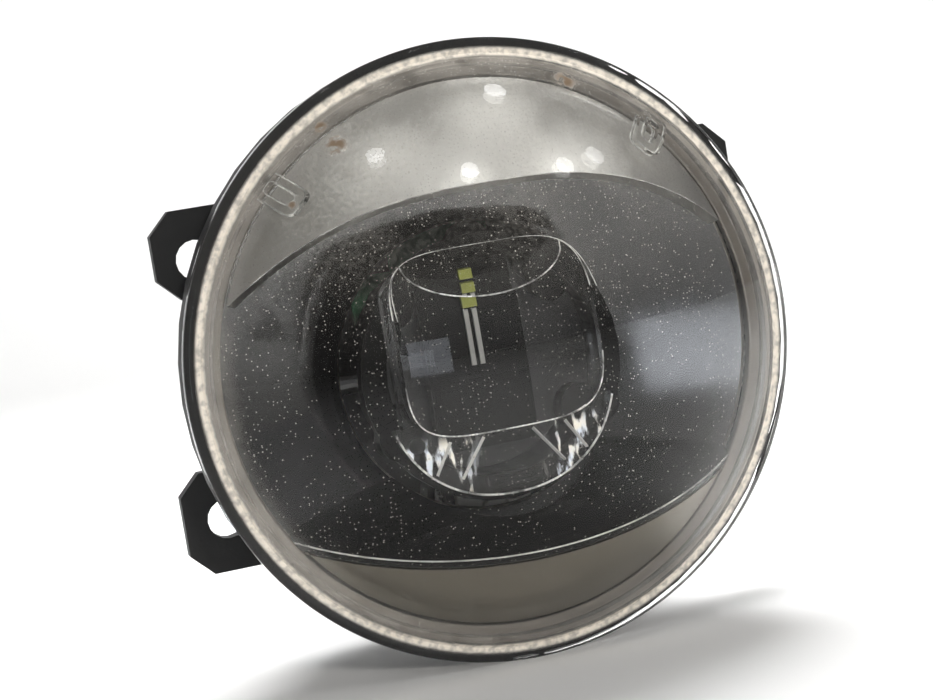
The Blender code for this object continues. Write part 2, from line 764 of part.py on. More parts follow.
def make_inner_optic():
    flange_outline = superellipse(
        OPTIC_FLANGE_HALF_WIDTH,
        OPTIC_FLANGE_HALF_HEIGHT,
        MODULE_Z,
        OPTIC_FLANGE_UPPER_POWER,
        OPTIC_FLANGE_LOWER_POWER,
    )
    optic = prism("inner_optic", flange_outline, OPTIC_FLANGE_BACK, OPTIC_FLANGE_FRONT)
    shoulder_x = OPTIC_BARREL_HALF_WIDTH + OPTIC_SHOULDER
    lip_top = MODULE_Z - OPTIC_LIP_TOP
    for side in (-1, 1):
        beside = sorted((side * shoulder_x, side * FAR))
        cut(optic, block("beside_barrel", beside, (-FAR, FAR), (lip_top, FAR)))
    top = MODULE_Z + OPTIC_FLANGE_HALF_HEIGHT - GAP
    bottom = MODULE_Z - OPTIC_BARREL_BOTTOM
    middle = (top + bottom) / 2
    barrel_outline = superellipse(
        OPTIC_BARREL_HALF_WIDTH,
        (top - bottom) / 2,
        middle,
        OPTIC_BARREL_POWER,
        OPTIC_BARREL_POWER,
    )
    inside_flange = (OPTIC_FLANGE_BACK + OPTIC_FLANGE_FRONT) / 2
    apex = OPTIC_FLANGE_FRONT + OPTIC_BARREL_HEIGHT
    barrel = prism("barrel", barrel_outline, inside_flange, apex + OPTIC_BARREL_HEIGHT)
    ball = bmesh.new()
    bmesh.ops.create_uvsphere(ball, u_segments=CURVE_SIDES, v_segments=CURVE_RINGS, radius=1.0)
    scale = Matrix.Diagonal((OPTIC_CURVE_HALF_WIDTH, OPTIC_CURVE_HALF_HEIGHT, OPTIC_CURVE_DEPTH, 1))
    face_forward = Matrix.Rotation(math.radians(90), 4, "X")
    place = Matrix.Translation((0, OPTIC_CURVE_DEPTH - apex, 0))
    ball.transform(place @ face_forward @ scale)
    overlap(barrel, finished("front_curve", ball))
    join(optic, barrel)
    leaf_z = MODULE_Z + OPTIC_LEAF_EDGE
    rise = 1 - (leaf_z / OPTIC_CURVE_HALF_HEIGHT) ** 2
    leaf_forward = apex - OPTIC_CURVE_DEPTH * (1 - math.sqrt(rise))
    tilt = math.atan2(1.0, OPTIC_LEAF_SLOPE)
    leaf = slab("leaf", (0.0, leaf_forward, leaf_z), tilt, FAR)
    leaf.data.transform(Matrix.Translation(Vector((0, -math.sin(tilt), math.cos(tilt))) * FAR))
    cut(optic, leaf)
    gate_z = MODULE_Z - OPTIC_FLANGE_HALF_HEIGHT + OPTIC_GATE_HEIGHT
    gate = block(
        "gate",
        around(0.0, OPTIC_GATE_WIDTH),
        (inside_flange, OPTIC_FLANGE_FRONT + OPTIC_GATE_STAND),
        around(gate_z, OPTIC_GATE_HEIGHT),
    )
    join(optic, gate)
    return paint(optic, (0.95, 0.95, 0.95), 0.03, 0.0, 0.3)


def make_led_pieces():
    z_span = around(MODULE_Z, LED_BOARD_HEIGHT)
    board = block(
        "led_board", around(0.0, LED_BOARD_WIDTH), (LED_BOARD_BACK, LED_BOARD_FRONT), z_span
    )
    pieces = [paint(board, (0.02, 0.022, 0.022), 0.5)]
    seat = LED_BOARD_FRONT + GAP
    for name, height in (("led_chip_upper", CHIP_UPPER_Z), ("led_chip_lower", CHIP_LOWER_Z)):
        chip = block(
            name,
            around(0.0, CHIP_WIDTH),
            (seat, seat + CHIP_THICK),
            around(MODULE_Z + height, CHIP_HEIGHT),
        )
        pieces.append(paint(chip, (0.72, 0.66, 0.10), 0.6))
    strip_top = MODULE_Z + CHIP_LOWER_Z - CHIP_HEIGHT / 2 - GAP
    for name, side in (("lead_strip_left", -1), ("lead_strip_right", 1)):
        strip = block(
            name,
            around(side * STRIP_SPACING / 2, STRIP_WIDTH),
            (seat, seat + STRIP_THICK),
            (strip_top - STRIP_LENGTH, strip_top),
        )
        pieces.append(paint(strip, (0.75, 0.75, 0.72), 0.4))
    pad_span = (PAD_FRONT - PAD_THICK, PAD_FRONT)
    pad = block("thermal_pad", around(0.0, PAD_WIDTH), pad_span, around(MODULE_Z, PAD_HEIGHT))
    pieces.append(paint(pad, (0.45, 0.47, 0.50), 0.8))
    return pieces


def wire_x(side):
    """Wires run in the second channel between the fins on each side."""
    return side * WIRE_CHANNEL * FIN_PITCH


def make_heat_sink():
    sink = rod(
        "heat_sink", SHROUD_REAR_RADIUS, SINK_BACK, SINK_FRONT, 0.0, MODULE_Z, MODULE_SIDES
    )
    for index in range(FIN_COUNT):
        x = (index - (FIN_COUNT - 1) / 2) * FIN_PITCH
        fin = block(
            "fin",
            around(x, FIN_THICK),
            (SINK_BACK - FIN_DEPTH, PIVOT_FORWARD),
            around(MODULE_Z, FIN_HEIGHT),
        )
        join(sink, fin)
    half_slot = AIM_SCREW_RADIUS + GAP + NUT_NECK_WALL + FORK_CLEARANCE
    half_fork = half_slot + FORK_WALL
    arm_outline = [
        (-half_fork, AIM_Z - half_slot),
        (-half_slot, AIM_Z - half_slot),
        (-half_slot, AIM_Z + half_slot),
        (half_slot, AIM_Z + half_slot),
        (half_slot, AIM_Z - half_slot),
        (half_fork, AIM_Z - half_slot),
        (half_fork, MODULE_Z - SHROUD_REAR_RADIUS / 2),
        (-half_fork, MODULE_Z - SHROUD_REAR_RADIUS / 2),
    ]
    arm_span = around(PIVOT_FORWARD, FORK_THICK)
    join(sink, prism("arm", arm_outline, arm_span[0], arm_span[1]))
    pin_start = SHROUD_REAR_RADIUS - PIN_INSERT
    for side in (-1, 1):
        ends = sorted((side * pin_start, side * FAR))
        pin_hole = rod("pin_hole", PIN_RADIUS + GAP, *ends)
        cut(sink, lay_along_x(pin_hole, PIVOT_FORWARD, MODULE_Z))
        cut(sink, rod("wire_hole", WIRE_RADIUS + GAP, -FAR, FAR, wire_x(side), wire_z()))
    for x, z in lug_places(POST_CIRCLE):
        cut(sink, rod("screw_hole", SCREW_RADIUS + GAP, -FAR, FAR, x, z))
    return paint(sink, (0.030, 0.030, 0.032), 0.5)


def wire_z():
    return MODULE_Z + WIRE_RISE


def make_shroud_screws():
    screws = []
    seat = SINK_BACK - GAP
    tip = SINK_FRONT + GAP + SCREW_BITE
    for number, (x, z) in enumerate(lug_places(POST_CIRCLE), start=1):
        profile = [
            (0.0, seat - SCREW_HEAD_THICK),
            (SCREW_HEAD_RADIUS, seat - SCREW_HEAD_THICK),
            (SCREW_HEAD_RADIUS, seat),
            (SCREW_RADIUS, seat),
            (SCREW_RADIUS, tip),
            (0.0, tip),
        ]
        screw = turned(f"shroud_screw_{number}", profile, x, z, SMALL_SIDES)
        screws.append(paint(screw, (0.50, 0.50, 0.50), 0.35, 1.0))
    return screws


def make_pivots():
    """Steel pins in the heat sink, and bushes in the housing's saddles."""
    pins = []
    bushes = []
    start = SHROUD_REAR_RADIUS - PIN_INSERT + GAP
    for name, side in (("left", -1), ("right", 1)):
        ends = sorted((side * start, side * PIN_REACH))
        pin = rod(f"pivot_pin_{name}", PIN_RADIUS, *ends)
        lay_along_x(pin, PIVOT_FORWARD, MODULE_Z)
        pins.append(paint(pin, (0.60, 0.60, 0.60), 0.3, 1.0))
        ends = sorted((side * (PIN_REACH - BUSH_LENGTH + GAP), side * PIN_REACH))
        bush = tube(f"pivot_bush_{name}", PIN_RADIUS + GAP, bush_outer(), *ends)
        lay_along_x(bush, PIVOT_FORWARD, MODULE_Z)
        bushes.append(paint(bush, (0.75, 0.74, 0.70), 0.5))
    return pins, bushes


def make_aim_screw():
    head_front = REAR_OUTSIDE - GAP
    head_back = head_front - AIM_HEAD_THICK
    tip = PIVOT_FORWARD + AIM_SCREW_TIP
    screw = rod("aim_screw", AIM_SCREW_RADIUS, head_back + AIM_SLOT_DEPTH, tip, 0.0, AIM_Z)
    head_radius = AIM_HEAD_ACROSS / math.sqrt(3)
    head = rod("head", head_radius, head_back, head_front, 0.0, AIM_Z, HEX_SIDES)
    join(screw, head)
    long_way = AIM_HEAD_ACROSS / 2
    for x_width, z_width in ((long_way, AIM_SLOT_WIDTH), (AIM_SLOT_WIDTH, long_way)):
        slot = block(
            "slot",
            around(0.0, x_width),
            (head_back - FAR, head_back + AIM_SLOT_DEPTH),
            around(AIM_Z, z_width),
        )
        cut(screw, slot)
    clip_back = REAR_INSIDE + AIM_BOSS_LENGTH + GAP
    clip_inner = AIM_SCREW_RADIUS + GAP
    clip = tube(
        "aim_screw_clip",
        clip_inner,
        clip_inner + CLIP_WIDTH,
        clip_back,
        clip_back + CLIP_THICK,
        0.0,
        AIM_Z,
    )
    pieces = [paint(screw, (0.80, 0.79, 0.74), 0.45), paint(clip, (0.55, 0.55, 0.55), 0.3, 1.0)]
    ring_back = REAR_OUTSIDE + GAP
    ring = tube(
        "aim_screw_o_ring",
        AIM_SCREW_RADIUS + GAP,
        AIM_SCREW_RADIUS + GAP + O_RING_WIDTH,
        ring_back,
        ring_back + O_RING_WIDTH,
        0.0,
        AIM_Z,
    )
    return pieces, paint(ring, (0.02, 0.02, 0.02), 0.8)


def make_aim_nut():
    half_neck = AIM_SCREW_RADIUS + GAP + NUT_NECK_WALL
    half_flange = half_neck + NUT_FLANGE_STAND
    half_groove = FORK_THICK / 2 + FORK_CLEARANCE
    nut = block(
        "aim_nut",
        around(0.0, 2 * half_neck),
        around(PIVOT_FORWARD, 2 * half_groove + NUT_FLANGE_THICK),
        around(AIM_Z, 2 * half_neck),
    )
    for side in (-1, 1):
        middle = PIVOT_FORWARD + side * (half_groove + NUT_FLANGE_THICK / 2)
        flange = block(
            "flange",
            around(0.0, 2 * half_flange),
            around(middle, NUT_FLANGE_THICK),
            around(AIM_Z, 2 * half_flange),
        )
        join(nut, flange)
    cut(nut, rod("thread", AIM_SCREW_RADIUS + GAP, -FAR, FAR, 0.0, AIM_Z))
    return paint(nut, (0.82, 0.82, 0.78), 0.5)


def make_driver_pieces():
    span = (DRIVER_BACK, DRIVER_FRONT)
    board = block("driver_board", around(0.0, DRIVER_WIDTH), span, around(DRIVER_Z, DRIVER_HEIGHT))
    pieces = [paint(board, (0.03, 0.16, 0.07), 0.5)]
    seat = DRIVER_FRONT + GAP
    choke_x = DRIVER_WIDTH / 2 - CHOKE_RADIUS - GAP
    choke_z = DRIVER_Z + DRIVER_HEIGHT / 2 - CHOKE_RADIUS - GAP
    choke = rod("driver_choke", CHOKE_RADIUS, seat, seat + CHOKE_HEIGHT, choke_x, choke_z)
    pieces.append(paint(choke, (0.06, 0.06, 0.06), 0.6))
    chip = block(
        "driver_chip",
        around(-choke_x, DRIVER_CHIP_WIDTH),
        (seat, seat + DRIVER_CHIP_THICK),
        around(choke_z, DRIVER_CHIP_HEIGHT),
    )
    pieces.append(paint(chip, (0.03, 0.03, 0.03), 0.4))
    return pieces


def make_lead_wires():
    """Two wires from the driver board, with slack between the fins, to the LED board."""
    front = LED_BOARD_BACK - GAP
    back = DRIVER_FRONT + GAP
    sway_front = SINK_BACK - FIN_DEPTH / 4
    sway_back = SINK_BACK - FIN_DEPTH
    wires = []
    for name, side, colour in (("left", -1, (0.5, 0.02, 0.02)), ("right", 1, (0.02, 0.02, 0.02))):
        route = [(front, 0.0)]
        for step in range(WIRE_STEPS + 1):
            share = step / WIRE_STEPS
            lift = WIRE_SWAY * (1 - math.cos(2 * math.pi * share)) / 2
            route.append((sway_front + (sway_back - sway_front) * share, lift))
        route.append((back, 0.0))
        data = bpy.data.curves.new(f"lead_wire_{name}", "CURVE")
        data.dimensions = "3D"
        data.bevel_depth = WIRE_RADIUS
        data.bevel_resolution = WIRE_ROUND_STEPS
        data.use_fill_caps = True
        line = data.splines.new("POLY")
        line.points.add(len(route) - 1)
        for point, (forward, lift) in zip(line.points, route):
            point.co = (wire_x(side), -forward, wire_z() + lift, 1.0)
        wire = bpy.data.objects.new(f"lead_wire_{name}", data)
        bpy.context.scene.collection.objects.link(wire)
        wires.append(paint(wire, colour, 0.5))
    return wires


def make_connector():
    """Open shell behind the rear wall, with two blade terminals."""
    flange_width = SOCKET_WIDTH + 2 * SOCKET_FLANGE_STAND
    flange_height = SOCKET_HEIGHT + 2 * SOCKET_FLANGE_STAND
    mouth = SOCKET_FLOOR - SOCKET_LENGTH
    socket = block(
        "connector_socket",
        around(0.0, flange_width),
        (SOCKET_FLOOR, SOCKET_BASE),
        around(SOCKET_Z, flange_height),
    )
    inside_flange = (SOCKET_FLOOR + SOCKET_BASE) / 2
    shell = block(
        "shell", around(0.0, SOCKET_WIDTH), (mouth, inside_flange), around(SOCKET_Z, SOCKET_HEIGHT)
    )
    join(socket, shell)
    latch_base = SOCKET_Z + SOCKET_HEIGHT / 2
    latch = block(
        "latch",
        around(0.0, LATCH_WIDTH),
        (mouth + LATCH_LENGTH, mouth + 2 * LATCH_LENGTH),
        (latch_base - SOCKET_WALL / 2, latch_base + LATCH_STAND),
    )
    join(socket, latch)
    hollow = block(
        "hollow",
        around(0.0, SOCKET_WIDTH - 2 * SOCKET_WALL),
        (mouth - FAR, SOCKET_FLOOR),
        around(SOCKET_Z, SOCKET_HEIGHT - 2 * SOCKET_WALL),
    )
    cut(socket, hollow)
    terminals = []
    for name, side in (("left", -1), ("right", 1)):
        x = side * BLADE_SPACING / 2
        slot = block(
            "slot",
            around(x, BLADE_WIDTH + 2 * GAP),
            (SOCKET_FLOOR - FAR, SOCKET_BASE + FAR),
            around(SOCKET_Z, BLADE_THICK + 2 * GAP),
        )
        cut(socket, slot)
        blade = block(
            f"terminal_{name}",
            around(x, BLADE_WIDTH),
            (SOCKET_FLOOR - BLADE_SHOW, DRIVER_BACK - GAP),
            around(SOCKET_Z, BLADE_THICK),
        )
        terminals.append(paint(blade, (0.70, 0.55, 0.25), 0.3, 1.0))
    return [paint(socket, (0.022, 0.022, 0.023), 0.5)] + terminals


def make_vent():
    """Breather membrane on the housing's nipple, under a push-on cap."""
    nipple_end = REAR_OUTSIDE - VENT_NIPPLE_LENGTH
    membrane_front = nipple_end - GAP
    membrane = rod(
        "vent_membrane",
        VENT_NIPPLE_RADIUS,
        membrane_front - MEMBRANE_THICK,
        membrane_front,
        VENT_X,
        VENT_Z,
    )
    cap_inside = membrane_front - MEMBRANE_THICK - GAP
    inner = VENT_NIPPLE_RADIUS + GAP
    open_end = REAR_OUTSIDE - VENT_CAP_STAND
    profile = [
        (0.0, cap_inside - VENT_CAP_WALL),
        (inner + VENT_CAP_WALL, cap_inside - VENT_CAP_WALL),
        (inner + VENT_CAP_WALL, open_end),
        (inner, open_end),
        (inner, cap_inside),
        (0.0, cap_inside),
    ]
    cap = turned("vent_cap", profile, VENT_X, VENT_Z, SMALL_SIDES)
    return [paint(cap, (0.03, 0.03, 0.03), 0.75), paint(membrane, (0.85, 0.85, 0.85), 0.9)]


def carry(name, x, forward, z, pieces):
    """Parent moving pieces to an empty on their joint's axis."""
    pivot = bpy.data.objects.new(name, None)
    pivot.location = (x, -forward, z)
    bpy.context.scene.collection.objects.link(pivot)
    for piece in pieces:
        piece.parent = pivot
        piece.matrix_parent_inverse = Matrix.Translation((-x, forward, -z))


def build():
    clear_scene()
    make_housing()
    make_outer_lens()
    make_lens_seal()
    make_bezel_bowl()
    make_bezel_brow()
    make_bezel_chin()
    make_bezel_shelf()
    pins, bushes = make_pivots()
    module = [make_optic_shroud(), make_inner_optic(), make_heat_sink()]
    module += make_led_pieces() + make_shroud_screws() + pins + make_lead_wires()
    carry("module_pivot", 0.0, PIVOT_FORWARD, MODULE_Z, module)
    screw_pieces, o_ring = make_aim_screw()
    carry("aim_screw_axis", 0.0, REAR_OUTSIDE, AIM_Z, screw_pieces)
    carry("aim_nut_path", 0.0, PIVOT_FORWARD, AIM_Z, [make_aim_nut()])
    make_driver_pieces()
    make_connector()
    make_vent()
    for piece in bushes + [o_ring]:
        piece.parent = bpy.data.objects["housing"]
    print(f"module pivot {PIVOT_FORWARD:.4f} m forward, aim screw at z {AIM_Z:.4f} m")


build()
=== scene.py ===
# %% [markdown]
# # A round LED fog light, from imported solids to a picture
#
# The solids of the lamp are already modelled, packed and jointed. This lesson loads them,
# rebuilds the few pieces whose curves need a finer mesh than solids do, gives every surface
# a finish made from nodes, and sets up a camera, a floor and soft light.
# Lengths are metres, +Z is up, and the lamp shines along -Y.

# %% Load the solids
import math

import bmesh
import bpy
import numpy as np
from mathutils import Matrix, Vector


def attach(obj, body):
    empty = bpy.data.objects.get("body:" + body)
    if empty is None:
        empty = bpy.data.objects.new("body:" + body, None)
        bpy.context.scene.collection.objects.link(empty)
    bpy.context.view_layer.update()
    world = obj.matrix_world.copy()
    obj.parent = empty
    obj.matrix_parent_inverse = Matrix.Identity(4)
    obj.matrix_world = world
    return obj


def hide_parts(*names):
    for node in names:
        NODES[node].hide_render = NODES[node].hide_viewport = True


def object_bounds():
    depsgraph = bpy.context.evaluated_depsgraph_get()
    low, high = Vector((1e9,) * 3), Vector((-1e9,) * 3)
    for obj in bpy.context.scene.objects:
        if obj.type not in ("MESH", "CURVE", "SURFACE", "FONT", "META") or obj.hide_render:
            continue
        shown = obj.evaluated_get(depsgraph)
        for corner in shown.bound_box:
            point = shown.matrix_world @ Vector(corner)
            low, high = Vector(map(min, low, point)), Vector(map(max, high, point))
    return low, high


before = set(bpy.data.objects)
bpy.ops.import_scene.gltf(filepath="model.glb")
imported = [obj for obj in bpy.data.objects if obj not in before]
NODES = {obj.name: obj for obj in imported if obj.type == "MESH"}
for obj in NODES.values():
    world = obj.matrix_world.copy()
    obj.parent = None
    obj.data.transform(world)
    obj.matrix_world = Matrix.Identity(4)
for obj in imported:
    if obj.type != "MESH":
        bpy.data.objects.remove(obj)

CAD_BOX = [list(corner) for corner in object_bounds()]

# %% [markdown]
# ## The camera
#
# The rim of the lens is a circle, so its ellipse in a picture tells how far the lamp is turned
# away and tilted, and the ears tell the roll. A long lens at 35 cm fits both. The camera's own
# axes are written out and put in a matrix: that keeps turn, rise and roll apart, where three
# Euler angles would mix them up.

# %% Camera
TURN = math.radians(14.35)
RISE = math.radians(5.2)
ROLL = math.radians(9.26)
CAMERA_PLACE = Vector((-0.090577, -0.349625, 0.032659))
FOCAL_LENGTH_MM = 86.16


def camera_axes():
    """Right, up and backward axes of the camera."""
    backward = Vector((-math.sin(TURN) * math.cos(RISE), -math.cos(TURN) * math.cos(RISE), math.sin(RISE)))
    level_right = Vector((math.cos(TURN), -math.sin(TURN), 0.0))
    level_up = backward.cross(level_right)
    right = level_right * math.cos(ROLL) - level_up * math.sin(ROLL)
    up = level_right * math.sin(ROLL) + level_up * math.cos(ROLL)
    return right, up, backward


camera = bpy.data.objects.new("camera", bpy.data.cameras.new("camera"))
camera.data.lens = FOCAL_LENGTH_MM
camera.data.clip_start = 0.01
camera.matrix_world = Matrix.Translation(CAMERA_PLACE) @ Matrix(camera_axes()).transposed().to_4x4()
bpy.context.scene.collection.objects.link(camera)
bpy.context.scene.camera = camera
bpy.context.scene.view_settings.view_transform = "Standard"
print("camera stands", round(CAMERA_PLACE.length * 1000), "mm from the lamp's origin")

# %% [markdown]
# ## Floor and backdrop
#
# A photographer's cove is one sheet that runs back as a floor and bends up into a wall, so no
# corner shows. A plane and a wall would leave a line. One outline is swept sideways instead,
# and its white comes from its colour alone.

# %% Cove
FLOOR_Z = CAD_BOX[0][2] - 0.0004
COVE_BEND = 0.30
COVE_BACK = 1.00
COVE_FRONT = -1.60
COVE_HEIGHT = 1.20
COVE_HALF_WIDTH = 1.80
COVE_STEPS = 16


def cove_outline():
    """Points (y, z) from the front of the floor to the top of the wall."""
    points = [(COVE_FRONT, FLOOR_Z)]
    for step in range(COVE_STEPS + 1):
        turn = math.radians(90) * step / COVE_STEPS
        y = COVE_BACK - COVE_BEND + COVE_BEND * math.sin(turn)
        points.append((y, FLOOR_Z + COVE_BEND - COVE_BEND * math.cos(turn)))
    points.append((COVE_BACK, FLOOR_Z + COVE_HEIGHT))
    return points


sweep = cove_outline()
cove_points = [(side * COVE_HALF_WIDTH, y, z) for y, z in sweep for side in (-1, 1)]
cove_faces = [(2 * i, 2 * i + 1, 2 * i + 3, 2 * i + 2) for i in range(len(sweep) - 1)]
cove_mesh = bpy.data.meshes.new("cove")
cove_mesh.from_pydata(cove_points, [], cove_faces)
cove_mesh.shade_smooth()
cove = bpy.data.objects.new("cove", cove_mesh)
bpy.context.scene.collection.objects.link(cove)
print("cove floor at", round(FLOOR_Z * 1000, 1), "mm")

# %% [markdown]
# ## Helpers for finishes
#
# A finish is a small tree of nodes around one Principled shader. Four short helpers cover most
# of it: noise in real lengths, a range remap, a colour blend and a bump. Because each solid's
# object sits at the origin, Object coordinates are metres on the lamp, and a noise scale of
# 1000 gives features of about a millimetre.

# %% Finish helpers
def add_node(tree, kind, **settings):
    """Add a node and set its properties."""
    node = tree.nodes.new(kind)
    for key, value in settings.items():
        setattr(node, key, value)
    return node


def set_input(tree, socket, value):
    """Link a socket, or set a number on it."""
    if isinstance(value, bpy.types.NodeSocket):
        tree.links.new(value, socket)
    else:
        socket.default_value = value


def place_on_lamp(tree):
    """Coordinates in metres on the lamp."""
    return add_node(tree, "ShaderNodeTexCoord").outputs["Object"]


def noise(tree, scale, detail=3.0, where=None):
    """Cloudy value from 0 to 1, with features about 1/scale metres wide."""
    node = add_node(tree, "ShaderNodeTexNoise")
    set_input(tree, node.inputs["Vector"], where or place_on_lamp(tree))
    set_input(tree, node.inputs["Scale"], scale)
    set_input(tree, node.inputs["Detail"], detail)
    return node.outputs["Fac"]


def remap(tree, value, low, high, to_low=0.0, to_high=1.0):
    """Remap a range of values to another, smoothly clamped."""
    node = add_node(tree, "ShaderNodeMapRange", interpolation_type="SMOOTHSTEP")
    set_input(tree, node.inputs["Value"], value)
    for key, number in (("From Min", low), ("From Max", high), ("To Min", to_low), ("To Max", to_high)):
        set_input(tree, node.inputs[key], number)
    return node.outputs["Result"]


def sums(tree, operation, first, second):
    """Combine two values with a sum, a product or the like."""
    node = add_node(tree, "ShaderNodeMath", operation=operation, use_clamp=True)
    set_input(tree, node.inputs[0], first)
    set_input(tree, node.inputs[1], second)
    return node.outputs["Value"]


def blend(tree, share, first, second):
    """Blend two colours."""
    node = add_node(tree, "ShaderNodeMix", data_type="RGBA")
    set_input(tree, node.inputs["Factor"], share)
    for socket, colour in ((node.inputs[6], first), (node.inputs[7], second)):
        set_input(tree, socket, colour if isinstance(colour, bpy.types.NodeSocket) else (*colour, 1.0))
    return node.outputs[2]


def bump(tree, shader, height, depth):
    """Raise a shader's surface by a height map of a depth in metres."""
    node = add_node(tree, "ShaderNodeBump")
    set_input(tree, node.inputs["Height"], height)
    node.inputs["Distance"].default_value = depth
    tree.links.new(node.outputs["Normal"], shader.inputs["Normal"])


def new_finish(name, **constants):
    """A material and its Principled shader, with constants set on the shader's own sockets."""
    finish = bpy.data.materials.new(name)
    finish.use_nodes = True
    shader = finish.node_tree.nodes["Principled BSDF"]
    for key, value in constants.items():
        socket = shader.inputs[key.replace("_", " ")]
        socket.default_value = (*value, 1.0) if isinstance(value, tuple) else value
    return finish, finish.node_tree, shader


def dress(names, finish):
    """Give solids a finish."""
    for name in names:
        NODES[name].data.materials.clear()
        NODES[name].data.materials.append(finish)
    print(finish.name, "on", ", ".join(names))


# %% [markdown]
# ## White paper
#
# Studio paper is matt and nearly white, and its tone drifts a little over a width of a hand. An
# even white would do for a picture, but the drift keeps the floor from looking like an empty page.

# %% White paper of the cove
PAPER_SHADES = (0.93, 0.93, 0.93), (0.95, 0.95, 0.945)
PAPER_DRIFT = 6.0

paper, tree, shader = new_finish("cove_paper", Roughness=0.9, Specular_IOR_Level=0.1)
tree.links.new(blend(tree, noise(tree, PAPER_DRIFT), *PAPER_SHADES), shader.inputs["Base Color"])
cove_mesh.materials.append(paper)
print(paper.name, "on the cove")

# %% [markdown]
# ## Light
#
# A domed lens, a polished dish and a clear block mirror whatever stands in front of them, so the
# room there is dim. A narrow lamp in front lights the fog light itself, to a level at which a
# colour renders about as it is written, and hardly lights the floor. Two lamps above and behind
# whiten the floor and the backdrop. These three are kept out of mirrors. A small bluish panel
# stands for a window, and round ceiling lamps give the bright spots on the dome: each is placed
# where a ray from the camera, mirrored on the dome at that spot, would go.

# %% World
WALL_LEFT = (0.22, 0.216, 0.212)
WALL_RIGHT = (0.125, 0.125, 0.128)
CEILING = (0.22, 0.217, 0.21)
WALL_CHANGE = (-0.55, 0.45)
CEILING_CHANGE = (0.10, 0.95)

world = bpy.data.worlds.new("room")
world.use_nodes = True
bpy.context.scene.world = world
room = world.node_tree
split = add_node(room, "ShaderNodeSeparateXYZ")
room.links.new(add_node(room, "ShaderNodeTexCoord").outputs["Generated"], split.inputs[0])
sideways = remap(room, split.outputs["X"], *WALL_CHANGE)
walls = blend(room, sideways, WALL_LEFT, WALL_RIGHT)
upward = remap(room, split.outputs["Z"], *CEILING_CHANGE)
room.links.new(blend(room, upward, walls, CEILING), room.nodes["Background"].inputs["Color"])
print("room walls", WALL_LEFT, "and", WALL_RIGHT)

# %% Lamps
WARM = (1.0, 0.97, 0.93)
WHITE = (1.0, 1.0, 1.0)
BLUISH = (0.85, 0.90, 1.0)


def hang_lamp(name, kind, place, aim, watts, colour=WHITE, mirrored=True, **shape):
    """A lamp that faces a point, with its shape's own settings."""
    lamp = bpy.data.objects.new(name, bpy.data.lights.new(name, kind))
    for key, value in shape.items():
        setattr(lamp.data, key, value)
    lamp.data.energy = watts
    lamp.data.color = colour
    lamp.location = place
    lamp.rotation_euler = (Vector(aim) - Vector(place)).to_track_quat("-Z", "Y").to_euler()
    lamp.visible_camera = False
    lamp.visible_glossy = mirrored
    lamp.visible_transmission = mirrored
    bpy.context.scene.collection.objects.link(lamp)
    print(name, "gives", watts, "W")


hang_lamp(
    "key", "SPOT", place=(0.10, -0.83, 0.30), aim=(0.0, 0.0, 0.010), watts=28.0, colour=WARM,
    mirrored=False, spot_size=math.radians(9.2), spot_blend=0.3, shadow_soft_size=0.08,
)
hang_lamp(
    "floor_lamp", "AREA", place=(0.15, 0.38, 0.70), aim=(0.04, 0.13, -0.05), watts=1.35,
    mirrored=False, size=0.4, spread=math.radians(60),
)
hang_lamp(
    "backdrop_lamp", "AREA", place=(0.25, 0.25, 0.80), aim=(0.33, 1.00, 0.10), watts=4.2,
    mirrored=False, size=0.8, spread=math.radians(110),
)
hang_lamp(
    "window", "AREA", place=(-0.16, -0.56, -0.010), aim=(0.0, 0.0, 0.0), watts=0.12, colour=BLUISH,
    size=0.13,
)

# %% Ceiling spots
IMAGE_WIDTH, IMAGE_HEIGHT = 933, 700
PIXELS_PER_SLOPE = FOCAL_LENGTH_MM / camera.data.sensor_width * IMAGE_WIDTH
DOME_MIDDLE = Vector((0.0, 0.026382, 0.0))
DOME_RADIUS = 0.061982


def on_dome(pixel):
    """Point of the dome seen at a pixel, and the ray's direction there."""
    right, up, backward = camera_axes()
    across = (pixel[0] - IMAGE_WIDTH / 2) / PIXELS_PER_SLOPE
    above = (IMAGE_HEIGHT / 2 - pixel[1]) / PIXELS_PER_SLOPE
    ray = (right * across + up * above - backward).normalized()
    offset = CAMERA_PLACE - DOME_MIDDLE
    along = offset.dot(ray)
    way = -along - math.sqrt(along**2 - offset.length_squared + DOME_RADIUS**2)
    return CAMERA_PLACE + ray * way, ray


SPOTS = (((375, 155), 0.40), ((470, 170), 0.48), ((495, 90), 0.46), ((565, 165), 0.32), ((595, 155), 0.32))
SPOT_DISTANCE = 1.1
SPOT_SIZE = 0.10

for number, (pixel, watts) in enumerate(SPOTS, start=1):
    spot, ray = on_dome(pixel)
    away = ray.reflect((spot - DOME_MIDDLE).normalized()) * SPOT_DISTANCE
    hang_lamp(f"ceiling_spot_{number}", "AREA", spot + away, spot, watts, shape="DISK", size=SPOT_SIZE)

# %% [markdown]
# ## The outer lens
#
# The real lens is one clear moulding: a shallow dome, a thick flange and a leg that goes into
# the housing's groove. The solid has 48 sides, which shows in glass, so the same outline is
# turned again with many more. A Screw modifier could do it, but plain rings of points leave
# room to give the dome and the flange their own finish.

# %% Lens outline
LENS_RADIUS = 0.0490
DOME_BASE = 0.0465
DOME_CENTRE = -DOME_MIDDLE.y
LENS_WALL = 0.0025
FLANGE_BACK = 0.0116
FLANGE_FRONT = 0.0146
LEG_OUTER = 0.0470
LEG_INNER = 0.0456
LEG_BACK = 0.0078
LENS_INNER = 0.0440
FRONT_ROUND = 0.0009
BACK_ROUND = 0.00045
FINE_SIDES = 192
DOME_STEPS = 40


def sphere_arc(radius, start, end, steps):
    """Points (radius, forward) of a sphere about the dome's centre."""
    angles = np.linspace(math.asin(start / radius), math.asin(end / radius), steps + 1)
    return [(radius * math.sin(a), DOME_CENTRE + radius * math.cos(a)) for a in angles]


